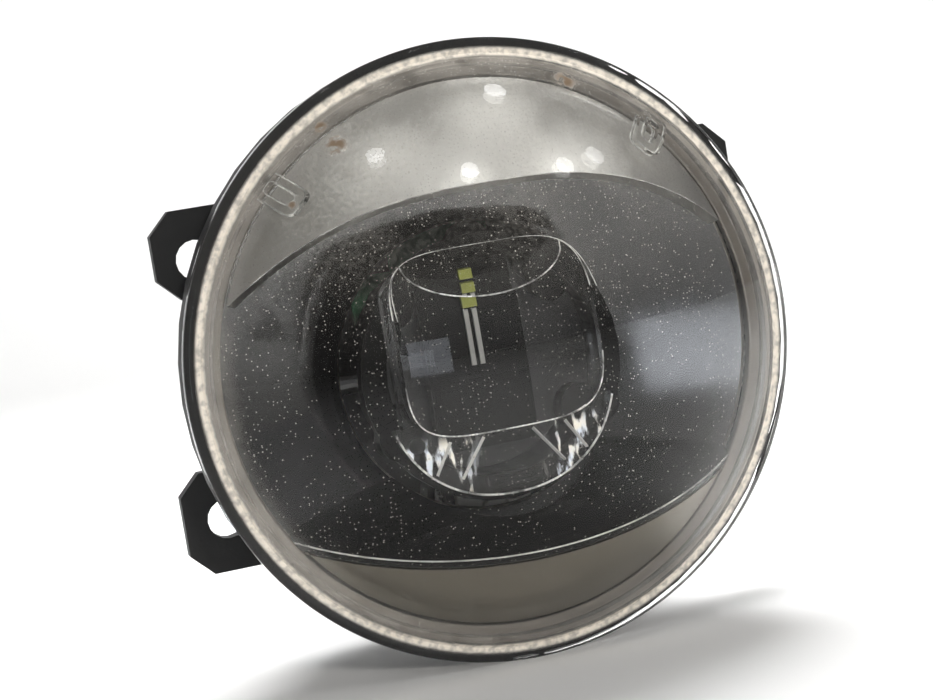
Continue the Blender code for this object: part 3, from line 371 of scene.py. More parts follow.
def round_corner(centre, radius, start, end, steps=5):
    """Points of a rounded corner, by angles in degrees."""
    angles = np.radians(np.linspace(start, end, steps + 1))
    return [(centre[0] + radius * math.cos(a), centre[1] + radius * math.sin(a)) for a in angles]


dome_outline = sphere_arc(DOME_RADIUS, 0.0, DOME_BASE, DOME_STEPS)
front_corner = (LENS_RADIUS - FRONT_ROUND, FLANGE_FRONT - FRONT_ROUND)
back_corner = (LENS_RADIUS - BACK_ROUND, FLANGE_BACK + BACK_ROUND)
flange_outline = round_corner(front_corner, FRONT_ROUND, 90, 0)
flange_outline += round_corner(back_corner, BACK_ROUND, 0, -90)
flange_outline += [(LEG_OUTER, FLANGE_BACK), (LEG_OUTER, LEG_BACK), (LEG_INNER, LEG_BACK)]
flange_outline += [(LEG_INNER, FLANGE_BACK), (LENS_INNER, FLANGE_BACK)]
inside_outline = sphere_arc(DOME_RADIUS - LENS_WALL, LENS_INNER, 0.0, DOME_STEPS)
print(len(dome_outline + flange_outline + inside_outline), "points in the lens outline")

# %% Turn an outline
WELD = 1e-7
SHARP_ANGLE = 35


def new_piece(name, points, faces, body):
    """A smooth-shaded mesh piece that rides on a body."""
    data = bpy.data.meshes.new(name)
    data.from_pydata(points, [], faces)
    tidy = bmesh.new()
    tidy.from_mesh(data)
    bmesh.ops.remove_doubles(tidy, verts=tidy.verts, dist=WELD)
    bmesh.ops.recalc_face_normals(tidy, faces=tidy.faces)
    tidy.to_mesh(data)
    tidy.free()
    data.shade_smooth()
    data.set_sharp_from_angle(angle=math.radians(SHARP_ANGLE))
    piece = bpy.data.objects.new(name, data)
    bpy.context.scene.collection.objects.link(piece)
    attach(piece, body)
    return piece


def ring_points(outline, sides):
    """Turn (radius, forward) points into rings about the lens axis."""
    turns = 2 * np.pi * np.arange(sides) / sides
    rings = [np.stack([r * np.cos(turns), np.full(sides, -f), r * np.sin(turns)], 1) for r, f in outline]
    return np.array(rings)


def ring_faces(rows, sides):
    """Quads between rings that follow each other."""
    return [
        (i * sides + k, i * sides + (k + 1) % sides, (i + 1) * sides + (k + 1) % sides, (i + 1) * sides + k)
        for i in range(rows - 1)
        for k in range(sides)
    ]


lens_outline = dome_outline + flange_outline + inside_outline
rings = ring_points(lens_outline, FINE_SIDES)
lens = new_piece(
    "lens_dome", rings.reshape(-1, 3), ring_faces(len(rings), FINE_SIDES), "housing"
)
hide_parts("outer_lens")
print("lens dome has", len(lens.data.polygons), "faces")

# %% [markdown]
# ## Locating tabs
#
# Two small sockets are moulded on the inside of the lens near its rim, and place it in the
# housing. Each is a rounded rectangle with a wall. Loops of points, lifted to spheres inside the
# dome, keep its foot on the curve; a cut box would leave a gap there.

# %% Locating tabs of the lens
TAB_LONG = (0.0383, 0.0446)
TAB_WIDTH = 0.0048
TAB_WALL = 0.0013
TAB_SPHERES = (0.05943, 0.05760)
TAB_DEGREES = (45, 135)
TAB_STEPS = 48
TAB_POWER = 0.4


def tab_loop(shrink, sphere, degrees):
    """Rounded rectangle near the rim, lifted to a sphere about the dome's centre."""
    half_long, half_wide = (TAB_LONG[1] - TAB_LONG[0]) / 2 - shrink, TAB_WIDTH / 2 - shrink
    turn = 2 * np.pi * np.arange(TAB_STEPS) / TAB_STEPS
    along = np.sign(np.cos(turn)) * np.abs(np.cos(turn)) ** TAB_POWER * half_long + sum(TAB_LONG) / 2
    across = np.sign(np.sin(turn)) * np.abs(np.sin(turn)) ** TAB_POWER * half_wide
    way = math.radians(degrees)
    x = along * math.cos(way) - across * math.sin(way)
    z = along * math.sin(way) + across * math.cos(way)
    return np.stack([x, DOME_MIDDLE.y - np.sqrt(sphere**2 - x**2 - z**2), z], 1)


tabs = []
for number, degrees in enumerate(TAB_DEGREES, start=1):
    front, back = TAB_SPHERES
    outer = [tab_loop(0.0, sphere, degrees) for sphere in (back, front)]
    inner = [tab_loop(TAB_WALL, sphere, degrees) for sphere in (front, back)]
    loops = np.array(outer + inner + outer[:1])
    faces = ring_faces(len(loops), TAB_STEPS)
    tabs.append(new_piece(f"lens_tab_{number}", loops.reshape(-1, 3), faces, "housing"))
print(len(tabs), "locating tabs")

# %% [markdown]
# ## Clear plastic
#
# The lens and the optic are polished clear plastic with faint flow marks. Glass shading alone
# would put the inside in shadow, so shadow rays pass through with a slight tint, as if the lens
# were hardly there. The index of refraction is set lower than that of the real plastic, because
# a lower one mirrors less of the pale floor and leaves the inside dark.

# %% Clear plastic
LENS_IOR = 1.28
OPTIC_IOR = 1.34
LENS_TINT = (0.985, 0.985, 0.975)
SHADOW_TINT = (0.94, 0.94, 0.93, 1.0)
POLISH = (0.0, 0.02)


def let_light_through(tree, surface):
    """Let shadow rays pass a clear surface, so that what is behind it is lit."""
    output = tree.nodes["Material Output"]
    mix = add_node(tree, "ShaderNodeMixShader")
    open_way = add_node(tree, "ShaderNodeBsdfTransparent")
    open_way.inputs["Color"].default_value = SHADOW_TINT
    tree.links.new(add_node(tree, "ShaderNodeLightPath").outputs["Is Shadow Ray"], mix.inputs[0])
    tree.links.new(surface, mix.inputs[1])
    tree.links.new(open_way.outputs[0], mix.inputs[2])
    tree.links.new(mix.outputs[0], output.inputs["Surface"])


def drifting_gloss(tree, shader, scale, smooth, rough):
    """Roughness that drifts between two values over a surface."""
    tree.links.new(remap(tree, noise(tree, scale), 0.3, 0.7, smooth, rough), shader.inputs["Roughness"])


def clear_plastic(name, tint, ior, haze):
    """Polished clear plastic with faint flow marks."""
    finish, tree, shader = new_finish(name, Base_Color=tint, IOR=ior, Transmission_Weight=1.0)
    drifting_gloss(tree, shader, 120.0, *haze)
    let_light_through(tree, shader.outputs[0])
    return finish


clear_lens = clear_plastic("clear_lens", LENS_TINT, LENS_IOR, POLISH)
for piece in [lens] + tabs:
    piece.data.materials.append(clear_lens)
    print(clear_lens.name, "on", piece.name)

# %% [markdown]
# ## Painted highlights on rounded edges
#
# The edges of a clear moulding have radii of about a tenth of a millimetre. They catch light from
# every side and show as thin pale lines, broken where they turn away from it. A bevel that small
# on a clear block is lost in what shows through it. So a fine tube along each edge carries a
# painted highlight: a pale finish whose tone comes and goes gives the same line.

# %% Finish of the painted edge highlights
HIGHLIGHT_DULL = (0.22, 0.22, 0.22)
HIGHLIGHT_BRIGHT = (0.97, 0.97, 0.96)

# Pale tone that comes and goes along the edges: a painted highlight, not the plastic's own colour.
painted_edge_highlight, tree, shader = new_finish("painted_edge_highlight", IOR=OPTIC_IOR, Transmission_Weight=0.35)
patches = remap(tree, noise(tree, 260.0, 4.0), 0.38, 0.62)
tree.links.new(blend(tree, patches, HIGHLIGHT_DULL, HIGHLIGHT_BRIGHT), shader.inputs["Base Color"])
drifting_gloss(tree, shader, 900.0, 0.15, 0.35)
let_light_through(tree, shader.outputs[0])
print(painted_edge_highlight.name, "made")

# %% Edge tubes
EDGE_RADIUS = 0.00012
EDGE_SIDES = 8


def edge_tube(line, radius=EDGE_RADIUS, closed=False):
    """Rings of points round a line, for a rounded edge."""
    line = np.asarray(line)
    ahead, behind = np.roll(line, -1, 0), np.roll(line, 1, 0)
    if not closed:
        ahead[-1], behind[0] = line[-1], line[0]
    along = ahead - behind
    first = np.cross(along, (0.0, 1.0, 0.0))
    first /= np.linalg.norm(first, axis=1)[:, None]
    second = np.cross(along, first)
    second /= np.linalg.norm(second, axis=1)[:, None]
    turns = 2 * np.pi * np.arange(EDGE_SIDES) / EDGE_SIDES
    rings = [line + radius * (first * math.cos(a) + second * math.sin(a)) for a in turns]
    rings = np.stack(rings, 1)
    return np.concatenate([rings, rings[:1]]) if closed else rings


def edge_piece(name, tubes, body, finish):
    """One piece of several edge tubes, with caps on the open ones."""
    points, faces = [], []
    for rings in tubes:
        start = len(points)
        points += list(rings.reshape(-1, 3))
        faces += [tuple(start + k for k in face) for face in ring_faces(len(rings), EDGE_SIDES)]
        if not np.allclose(rings[0], rings[-1]):
            for end in (start, len(points) - EDGE_SIDES):
                faces.append(tuple(range(end, end + EDGE_SIDES)))
    piece = new_piece(name, points, faces, body)
    piece.data.materials.append(finish)
    print(name, "has", len(tubes), "lines")


# Painted highlights along the edges of the locating tabs.
tab_lines = []
for degrees in TAB_DEGREES:
    for shrink in (0.0, TAB_WALL):
        tab_lines.append(edge_tube(tab_loop(shrink, TAB_SPHERES[1], degrees), closed=True))
edge_piece("lens_tab_edges", tab_lines, "housing", painted_edge_highlight)

# %% [markdown]
# ## Dust, dirt, stains and painted light
#
# Dust settles on the upper half of a dome as a grainy haze with specks of a few sizes; the haze
# thickens upward partly as real dust and partly as a painted sheen of the light from above. A pale
# ring in the crease where the dome meets the flange is dirt that thins out towards the middle,
# with a painted highlight of the curved fillet at its core. A few brown spots are dried splashes.
# A picture of dust could be laid over the lens, but noise and cell patterns in metres give each
# of the three its own mask and stay sharp at every distance. The masks say where a second, rough
# shader lies over the clear one.

# %% Measures for the dust
def lamp_axes(tree):
    """Separate x, y and z on the lamp."""
    split = add_node(tree, "ShaderNodeSeparateXYZ")
    tree.links.new(place_on_lamp(tree), split.inputs[0])
    return split.outputs


def specks(tree, scale, reach, share):
    """Round pale specks, one in a share of the cells of a flat cell pattern."""
    axes = lamp_axes(tree)
    flat = add_node(tree, "ShaderNodeCombineXYZ")
    tree.links.new(axes["X"], flat.inputs["X"])
    tree.links.new(axes["Z"], flat.inputs["Y"])
    cells = add_node(tree, "ShaderNodeTexVoronoi", voronoi_dimensions="2D")
    set_input(tree, cells.inputs["Vector"], flat.outputs[0])
    set_input(tree, cells.inputs["Scale"], scale)
    dot = remap(tree, cells.outputs["Distance"], reach * 0.5, reach, 1.0, 0.0)
    pick = add_node(tree, "ShaderNodeSeparateColor")
    tree.links.new(cells.outputs["Color"], pick.inputs[0])
    return sums(tree, "MULTIPLY", dot, sums(tree, "LESS_THAN", pick.outputs[0], share))


def from_axis(tree):
    """Distance from the lens axis."""
    axes = lamp_axes(tree)
    squares = [sums(tree, "MULTIPLY", axes[key], axes[key]) for key in ("X", "Z")]
    return sums(tree, "SQRT", sums(tree, "ADD", *squares), 0.0)


# %% Haze with a painted sheen, and specks
HAZE_AND_SHEEN_HEIGHT = (-0.002, 0.046)
HAZE_SHARE = (0.05, 0.27)
HAZE_END = (0.0462, 0.0466)
SPECK_STRENGTH = 0.60
# Cells per metre, reach in a cell, and share of cells with a speck at the bottom and at the top
SPECK_SIZES = ((330.0, 0.055, 0.05, 0.12), (800.0, 0.100, 0.16, 0.42), (1700.0, 0.170, 0.25, 0.62))


def dust_and_sheen_mask(tree):
    """Share of the dome that dust covers: haze by height, partly dust and partly a painted sheen, and
    specks that gather at the top.
    """
    # Haze thickens towards the top: partly real dust, partly a painted sheen of the light from above.
    height = remap(tree, lamp_axes(tree)["Z"], *HAZE_AND_SHEEN_HEIGHT)
    cloud = remap(tree, noise(tree, 70.0, 6.0), 0.30, 0.72, *HAZE_SHARE)
    grain = remap(tree, noise(tree, 1500.0, 5.0), 0.40, 0.62, 0.35, 1.0)
    haze = sums(tree, "MULTIPLY", sums(tree, "MULTIPLY", cloud, grain), height)
    patchy = sums(tree, "MULTIPLY", remap(tree, noise(tree, 110.0, 4.0), 0.35, 0.65, 0.3, 1.0), 0.9)
    total = haze
    for scale, reach, low, high in SPECK_SIZES:
        share = sums(tree, "MULTIPLY", remap(tree, height, 0.0, 1.0, low, high), patchy)
        dots = sums(tree, "MULTIPLY", specks(tree, scale, reach, share), SPECK_STRENGTH)
        total = sums(tree, "MAXIMUM", total, dots)
    return sums(tree, "MULTIPLY", total, remap(tree, from_axis(tree), *HAZE_END, 1.0, 0.0))


# %% Dirt and a painted highlight in the crease, and stains
CREASE_FADE = (0.0408, 0.0462)
CREASE_HIGHLIGHT_CORE = (0.0456, 0.0463)
CREASE_END = (0.0470, 0.0477)
FADE_SHARE = 0.32


def crease_dirt_and_highlight_mask(tree):
    """Pale ring where the dome meets the flange: dirt that thins out towards the middle, with a painted
    highlight on the fillet at its core.
    """
    radius = from_axis(tree)
    fading = remap(tree, radius, *CREASE_FADE, 0.0, FADE_SHARE)
    wide = sums(tree, "MULTIPLY", fading, remap(tree, noise(tree, 260.0, 5.0), 0.3, 0.6, 0.4, 1.0))
    # The core of the ring is a painted highlight on the fillet.
    highlight_core = remap(tree, radius, *CREASE_HIGHLIGHT_CORE)
    mottled = remap(tree, noise(tree, 900.0, 5.0), 0.30, 0.62, 0.6, 0.95)
    ring = sums(tree, "MAXIMUM", wide, sums(tree, "MULTIPLY", highlight_core, mottled))
    return sums(tree, "MULTIPLY", ring, remap(tree, radius, *CREASE_END, 1.0, 0.0))


STAINS = (((320, 127), 0.0012), ((336, 145), 0.0019), ((565, 80), 0.0019), ((292, 205), 0.0007))


def stain_mask(tree):
    """A few brown spots on the dome."""
    total = 0.0
    for pixel, size in STAINS:
        away = add_node(tree, "ShaderNodeVectorMath", operation="DISTANCE")
        tree.links.new(place_on_lamp(tree), away.inputs[0])
        away.inputs[1].default_value = on_dome(pixel)[0]
        spot = remap(tree, away.outputs["Value"], size * 0.4, size * 1.4, 1.0, 0.0)
        total = sums(tree, "ADD", total, spot)
    return sums(tree, "MULTIPLY", total, remap(tree, noise(tree, 900.0, 3.0), 0.36, 0.55, 0.0, 0.95))


# %% Finish of the lens: dust, stains and painted light
DUST_TONES = (0.74, 0.72, 0.68), (0.66, 0.62, 0.55)
# The crease's pale cream is dirt and, at the ring's core, a painted highlight.
CREASE_DIRT_AND_HIGHLIGHT_TONE = (0.97, 0.90, 0.79)
STAIN_TONE = (0.15, 0.095, 0.05)


def lay_over(tree, share, under, over):
    """Lay one shader over another, as far as a mask says, and let light through both."""
    film = add_node(tree, "ShaderNodeMixShader")
    tree.links.new(share, film.inputs[0])
    tree.links.new(under.outputs[0], film.inputs[1])
    tree.links.new(over.outputs[0], film.inputs[2])
    let_light_through(tree, film.outputs[0])


dust_and_highlight_lens, tree, clear = new_finish(
    "dust_and_highlight_lens", Base_Color=(0.985, 0.98, 0.965), IOR=LENS_IOR, Transmission_Weight=1.0
)
drifting_gloss(tree, clear, 90.0, *POLISH)
dust_and_highlight_layer = add_node(tree, "ShaderNodeBsdfPrincipled")
dust_and_highlight_layer.inputs["Roughness"].default_value = 0.8
# Over the clear plastic lie real dust and stains, and the painted highlight and sheen of crease and haze.
crease_dirt_and_highlight, stains = crease_dirt_and_highlight_mask(tree), stain_mask(tree)
dirt_and_highlight = blend(tree, crease_dirt_and_highlight, blend(tree, noise(tree, 40.0), *DUST_TONES), CREASE_DIRT_AND_HIGHLIGHT_TONE)
tree.links.new(blend(tree, stains, dirt_and_highlight, STAIN_TONE), dust_and_highlight_layer.inputs["Base Color"])
cover = sums(tree, "MAXIMUM", dust_and_sheen_mask(tree), sums(tree, "MAXIMUM", crease_dirt_and_highlight, stains))
lay_over(tree, cover, clear, dust_and_highlight_layer)
print(dust_and_highlight_lens.name, "has", len(tree.nodes), "nodes")

# %% Put the dust and painted light on the outside only
SKIN = 0.0004
FLANGE_SLACK = 0.0001

lens.data.materials.append(dust_and_highlight_lens)
for face in lens.data.polygons:
    outside = (face.center - DOME_MIDDLE).length > DOME_RADIUS - SKIN
    face.material_index = 1 if outside and -face.center.y > FLANGE_FRONT - FLANGE_SLACK else 0
print(sum(face.material_index for face in lens.data.polygons), "dusty faces")

# %% [markdown]
# ## The bezel behind the lens
#
# Behind the lens sits a metallised bezel: a satin brow and chin that follow the dome, a dark
# polished dish between them and a gloss black shelf under the optic. Each is a thin shell over
# a regular grid of points, because a grid of exact points on a sphere, a paraboloid or a plane
# reflects without the ripples that cut solids show. A bevel rounds the free edges, and its faces
# take a second finish; on brow, chin and shelf that is a lighter film, a painted highlight.

# %% A shell from two grids
def grid_faces(rows, cols, start, wraps):
    """Quads of a grid of points, closed round its columns or not."""
    faces = []
    for i in range(rows - 1):
        for k in range(cols if wraps else cols - 1):
            beside = (k + 1) % cols
            corners = (i, k), (i, beside), (i + 1, beside), (i + 1, k)
            faces.append(tuple(start + r * cols + c for r, c in corners))
    return faces


BEVEL_ANGLE = 40


def round_edges(piece, width, segments):
    """Bevel a piece's edges that are sharper than an angle."""
    rounding = piece.modifiers.new("rounded_edges", "BEVEL")
    rounding.width = width
    rounding.segments = segments
    rounding.limit_method = "ANGLE"
    rounding.angle_limit = math.radians(BEVEL_ANGLE)
    return rounding


def shell(name, front, back, wraps, edge):
    """Closed shell between a front and a back grid of points, with rounded edges."""
    rows, cols = front.shape[:2]
    behind = rows * cols
    faces = grid_faces(rows, cols, 0, wraps) + grid_faces(rows, cols, behind, wraps)
    border = [(0, k) for k in range(cols)], [(rows - 1, k) for k in range(cols)]
    if not wraps:
        border += [(i, 0) for i in range(rows)], [(i, cols - 1) for i in range(rows)]
    for line in border:
        ends = line + line[:1] if wraps else line
        for first, second in zip(ends, ends[1:]):
            a, b = (r * cols + c for r, c in (first, second))
            faces.append((a, b, b + behind, a + behind))
    points = np.concatenate([front.reshape(-1, 3), back.reshape(-1, 3)])
    piece = new_piece(name, points, faces, "housing")
    # Bevel faces take the second finish, which on brow, chin and shelf is a painted highlight.
    round_edges(piece, edge, 3).material = 1
    print(name, "has", len(piece.data.polygons), "faces")
    return piece


# %% [markdown]
# ## The dish
#
# The dish is a shallow mirror with a round opening for the optic, a little below its middle, and
# a turned-up rim. Its rows of points run from the opening to the edge, so they have to change
# from one circle to the other. A straight blend of the two circles does that; a turned outline
# couldn't, because they don't share a centre.

# %% Dish
DISH_EDGE = 0.0426
DISH_EDGE_FORWARD = 0.0093
DISH_DEPTH = 0.0098
DISH_WALL = 0.0020
RIM_TOP = 0.0113
DISH_FLANGE = 0.0450
OPENING = 0.0230
MODULE_Z = -0.0025
DISH_SIDES = 160
DISH_ROWS = 24
FINE_ROUND = 0.0003


def dish_forward(radius):
    """The dish's face, a paraboloid, at a distance from the axis."""
    return DISH_EDGE_FORWARD - DISH_DEPTH * (1 - (radius / DISH_EDGE) ** 2)


turns = 2 * np.pi * np.arange(DISH_SIDES) / DISH_SIDES
round_way = np.stack([np.cos(turns), np.sin(turns)], 1)
dish_rows = []
for share in np.linspace(0.0, 1.0, DISH_ROWS):
    flat = (OPENING * round_way + (0.0, MODULE_Z)) * (1 - share) + DISH_EDGE * round_way * share
    forward = dish_forward(np.hypot(flat[:, 0], flat[:, 1]))
    dish_rows.append(np.stack([flat[:, 0], -forward, flat[:, 1]], 1))
for radius in (DISH_EDGE, DISH_FLANGE):
    flat = radius * round_way
    dish_rows.append(np.stack([flat[:, 0], np.full(DISH_SIDES, -RIM_TOP), flat[:, 1]], 1))
dish_front = np.array(dish_rows)
dish_back = dish_front + (0.0, DISH_WALL / 2, 0.0)
dish = shell("bezel_dish", dish_front, dish_back, True, FINE_ROUND)
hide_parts("bezel_bowl")

# %% [markdown]
# ## Brow, chin and shelf
#
# The brow and the chin are parts of one sphere behind the dome. Their outer edge is round, and
# their inner edge is an arch above and the front of the shelf below. The shelf is flat and falls
# towards the front. Where its plane meets the sphere and the dish is found by halving a range
# again and again, which needs no formula for the curve of the cut.

# %% Brow
FACE_RADIUS = 0.056982
FACE_EDGE = 0.0423
FACE_WALL = 0.0018
ARCH_TOP = 0.026313
ARCH_DROP = 0.013328
ARCH_TIP_X = 0.041013
ARCH_POWER = 2.6
BROW_REACH = 0.0398
BROW_ROWS = 20
FACE_COLUMNS = 120
FACE_ROUND = 0.0005


def on_sphere(flat, radius):
    """Lift (x, z) points to a sphere about the dome's centre."""
    depth = np.sqrt(FACE_RADIUS**2 - flat[..., 0] ** 2 - flat[..., 1] ** 2)
    points = np.stack([flat[..., 0], -depth, flat[..., 1]], -1) * (radius / FACE_RADIUS)
    return points + (0.0, -DOME_CENTRE, 0.0)


def face_shell(name, inner, outer, rows):
    """Shell on the bezel's sphere between an inner and an outer edge of (x, z) points."""
    shares = np.linspace(0.0, 1.0, rows)[:, None, None]
    flat = inner * (1 - shares) + outer * shares
    front, back = on_sphere(flat, FACE_RADIUS), on_sphere(flat, FACE_RADIUS - FACE_WALL)
    return shell(name, front, back, False, FACE_ROUND)


def outer_arc(first, last):
    """Points on the bezel's outer edge between two points' directions."""
    angles = np.linspace(math.atan2(first[1], first[0]), math.atan2(last[1], last[0]), FACE_COLUMNS)
    return FACE_EDGE * np.stack([np.cos(angles), np.sin(angles)], 1)


arch_x = np.linspace(BROW_REACH, -BROW_REACH, FACE_COLUMNS)
arch = np.stack([arch_x, ARCH_TOP - ARCH_DROP * np.abs(arch_x / ARCH_TIP_X) ** ARCH_POWER], 1)
brow = face_shell("bezel_brow_satin", arch, outer_arc(arch[0], arch[-1]), BROW_ROWS)
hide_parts("bezel_brow")

# %% Chin
SHELF_FRONT_Z = -0.03038
SHELF_FRONT = 0.021827
SHELF_FALL = 0.6847
SHELF_THICK = 0.0014
HAIR_GAP = 0.0003
SHELF_DROP = (SHELF_THICK + HAIR_GAP) * math.sqrt(1 + SHELF_FALL**2)
FRONT_RANGE = (-0.044, -0.015)
HALVINGS = 40
CHIN_REACH = 0.0345
CHIN_ROWS = 16


def sphere_forward(x, z):
    """The bezel's sphere at a place."""
    return DOME_CENTRE + math.sqrt(FACE_RADIUS**2 - x * x - z * z)


def plane_meets(surface, x, drop, low, high):
    """Height where the shelf's plane, lowered by a drop, meets a surface at an x."""
    for _ in range(HALVINGS):
        z = (low + high) / 2
        plane_z = SHELF_FRONT_Z - drop + (SHELF_FRONT - surface(x, z)) * SHELF_FALL
        low, high = (z, high) if z < plane_z else (low, z)
    return z


chin_x = np.linspace(-CHIN_REACH, CHIN_REACH, FACE_COLUMNS)
smile = np.array([(x, plane_meets(sphere_forward, x, SHELF_DROP, *FRONT_RANGE)) for x in chin_x])
chin = face_shell("bezel_chin_satin", smile, outer_arc(smile[0], smile[-1]), CHIN_ROWS)
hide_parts("bezel_chin")

# %% Shelf
SHELF_REACH = 0.0361
SHELF_COLUMNS = 121
SHELF_ROWS = 14
SHELF_LEAST = 0.0002
BACK_RANGE = (-0.030, 0.0)


def dish_place(x, z):
    """The dish's face at a place, with a hair's gap."""
    return dish_forward(math.hypot(x, z)) + HAIR_GAP


shelf_x = np.linspace(-SHELF_REACH, SHELF_REACH, SHELF_COLUMNS)
front_z = np.array([plane_meets(sphere_forward, x, 0.0, *FRONT_RANGE) for x in shelf_x])
back_z = np.array([plane_meets(dish_place, x, 0.0, *BACK_RANGE) for x in shelf_x])
inside = np.abs(shelf_x) < OPENING
hole_z = MODULE_Z - np.sqrt(np.where(inside, OPENING**2 - shelf_x**2, 0.0))
back_z = np.where(inside, np.minimum(back_z, hole_z), back_z)
shelf_rows = []
for share in np.linspace(0.0, 1.0, SHELF_ROWS):
    z = front_z * (1 - share) + np.maximum(back_z, front_z + SHELF_LEAST) * share
    shelf_rows.append(np.stack([shelf_x, -(SHELF_FRONT - (z - SHELF_FRONT_Z) / SHELF_FALL), z], 1))
top = np.array(shelf_rows)
down = np.array([0.0, SHELF_FALL, -1.0]) * SHELF_THICK / math.sqrt(1 + SHELF_FALL**2)
shelf = shell("bezel_shelf_gloss", top, top + down, False, FINE_ROUND)
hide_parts("bezel_shelf")

# %% [markdown]
# ## Metallised and gloss finishes
#
# Vacuum metallising is a film of aluminium under a clear lacquer. Over a fine grained tool it
# comes out satin, over a polished one like a mirror, and a smoked lacquer makes it dark. Metal
# shading with a slight waviness in the bump does both; only the roughness and tint differ.

# %% Metal films
def metal_film(name, light, dark, smooth, rough, wave):
    """Metallised plastic, with tint and gloss that drift a little."""
    finish, tree, shader = new_finish(name, Metallic=1.0)
    tree.links.new(blend(tree, noise(tree, 45.0), light, dark), shader.inputs["Base Color"])
    drifting_gloss(tree, shader, 160.0, smooth, rough)
    bump(tree, shader, noise(tree, 55.0, 1.0), wave)
    return finish


satin_film = metal_film("satin_film", (0.72, 0.71, 0.68), (0.64, 0.63, 0.60), 0.34, 0.44, 0.00004)
# The chin is on the brow's sphere; its darker film is a copy of the brow's with painted shade.
shaded_chin_film = metal_film("shaded_chin_film", (0.34, 0.31, 0.265), (0.28, 0.255, 0.21), 0.30, 0.40, 0.00004)
dark_film = metal_film("dark_film", (0.155, 0.155, 0.155), (0.13, 0.13, 0.13), 0.09, 0.13, 0.00001)
# A lighter, smoother copy of the satin film for bevelled edges: a painted highlight.
edge_highlight_film = metal_film("edge_highlight_film", (0.80, 0.79, 0.77), (0.68, 0.67, 0.65), 0.14, 0.24, 0.00002)
rim_film = metal_film("rim_film", (0.40, 0.36, 0.32), (0.33, 0.30, 0.26), 0.30, 0.42, 0.00003)
RIM_SLACK = 0.0002

FILMS = (brow, satin_film, edge_highlight_film), (chin, shaded_chin_film, edge_highlight_film), (dish, dark_film, rim_film)
for piece, film, edge in FILMS:
    piece.data.materials.append(film)
    piece.data.materials.append(edge)
    print(film.name, "on", piece.name, "with edges of", edge.name)
for face in dish.data.polygons:
    face.material_index = 1 if -face.center.y > DISH_EDGE_FORWARD + RIM_SLACK else 0

# %% Gloss black
def black_plastic(name, shade, smooth, rough, grain, depth, shine=0.5):
    """Black moulded plastic with a grain of a size in metres."""
    finish, tree, shader = new_finish(name, Specular_IOR_Level=shine)
    dark, light = (shade * 0.75,) * 3, (shade * 1.35,) * 3
    tree.links.new(blend(tree, noise(tree, 90.0), dark, light), shader.inputs["Base Color"])
    drifting_gloss(tree, shader, 140.0, smooth, rough)
    bump(tree, shader, noise(tree, 1.0 / grain, 2.0), depth)
    return finish


gloss_black = black_plastic("gloss_black", 0.006, 0.06, 0.14, 0.012, 0.00002, 0.3)
shelf.data.materials.append(gloss_black)
shelf.data.materials.append(edge_highlight_film)
print(gloss_black.name, "on", shelf.name)

# %% [markdown]
# ## Painted highlights on the bezel's edges
#
# The free edges of brow and shelf show as fine pale lines, brighter in some places, where their
# rounded edges catch light. A metal edge shows only what it mirrors, which is a dim room. The tubes
# used for the clear edges serve again, in a pale finish that isn't metal, so the front lamp lights
# them as a painted highlight.

# %% Painted edge highlights of the bezel
BEZEL_HIGHLIGHT_DULL = (0.20, 0.195, 0.19)
BEZEL_HIGHLIGHT_BRIGHT = (0.72, 0.71, 0.68)
BROW_EDGE_RADIUS = 0.0001
SHELF_EDGE_RADIUS = 0.00013
FREE_EDGE = slice(4, -4)

# Pale patches along the free edges of brow and shelf are a painted highlight.
bezel_edge_highlight, tree, shader = new_finish("bezel_edge_highlight")
patches = remap(tree, noise(tree, 180.0, 4.0), 0.35, 0.65)
tree.links.new(blend(tree, patches, BEZEL_HIGHLIGHT_DULL, BEZEL_HIGHLIGHT_BRIGHT), shader.inputs["Base Color"])
drifting_gloss(tree, shader, 700.0, 0.2, 0.4)
brow_line = edge_tube(on_sphere(arch, FACE_RADIUS)[FREE_EDGE], BROW_EDGE_RADIUS)
shelf_line = edge_tube(top[0][FREE_EDGE], SHELF_EDGE_RADIUS)
edge_piece("bezel_edges", [brow_line, shelf_line], "housing", bezel_edge_highlight)

# %% [markdown]
# ## The solids that stay as they are
#
# Housing, shroud, boards, screws and the rest keep their solid meshes. They get shading by angle
# and a finish each, and housing, socket, shroud and vent cap also a small bevel, so that edges catch light.

# %% Soften edges
SOLID_SHARP = 32
ROUNDED_SOLIDS = ("housing", "connector_socket", "optic_shroud", "vent_cap")

for node in NODES.values():
    node.data.shade_smooth()
    node.data.set_sharp_from_angle(angle=math.radians(SOLID_SHARP))
for name in ROUNDED_SOLIDS:
    round_edges(NODES[name], FINE_ROUND, 2).harden_normals = True
print(len(NODES), "solids shaded by angle,", len(ROUNDED_SOLIDS), "of them rounded")

# %% [markdown]
# ## Black mouldings
#
# Most of the lamp is black plastic or rubber, and what tells one from another is its grain and its
# gloss: spark-eroded on the housing, finer on the socket, dull on rubber. One function with a
# shade, a gloss and a grain serves them all, so that they stay a family.

# %% Black mouldings
SEALS = ["vent_cap", "lens_seal", "aim_screw_o_ring"]
SMALL_PARTS = ["driver_choke", "driver_chip", "lead_wire_right"]
dress(["housing"], black_plastic("moulded_black", 0.016, 0.48, 0.62, 0.0006, 0.00003))
dress(["connector_socket"], black_plastic("socket_black", 0.018, 0.42, 0.55, 0.0005, 0.00002))
# Shroud and board sit inside the lamp; they are black, and darker than the housing as painted shade.
dress(["optic_shroud"], black_plastic("shroud_black", 0.005, 0.35, 0.5, 0.0008, 0.00002, 0.15))
dress(["led_board"], black_plastic("board_black", 0.006, 0.4, 0.55, 0.0006, 0.00001, 0.15))
dress(SEALS, black_plastic("black_rubber", 0.02, 0.65, 0.85, 0.0004, 0.00003))
dress(SMALL_PARTS, black_plastic("part_black", 0.02, 0.4, 0.55, 0.0005, 0.00001))

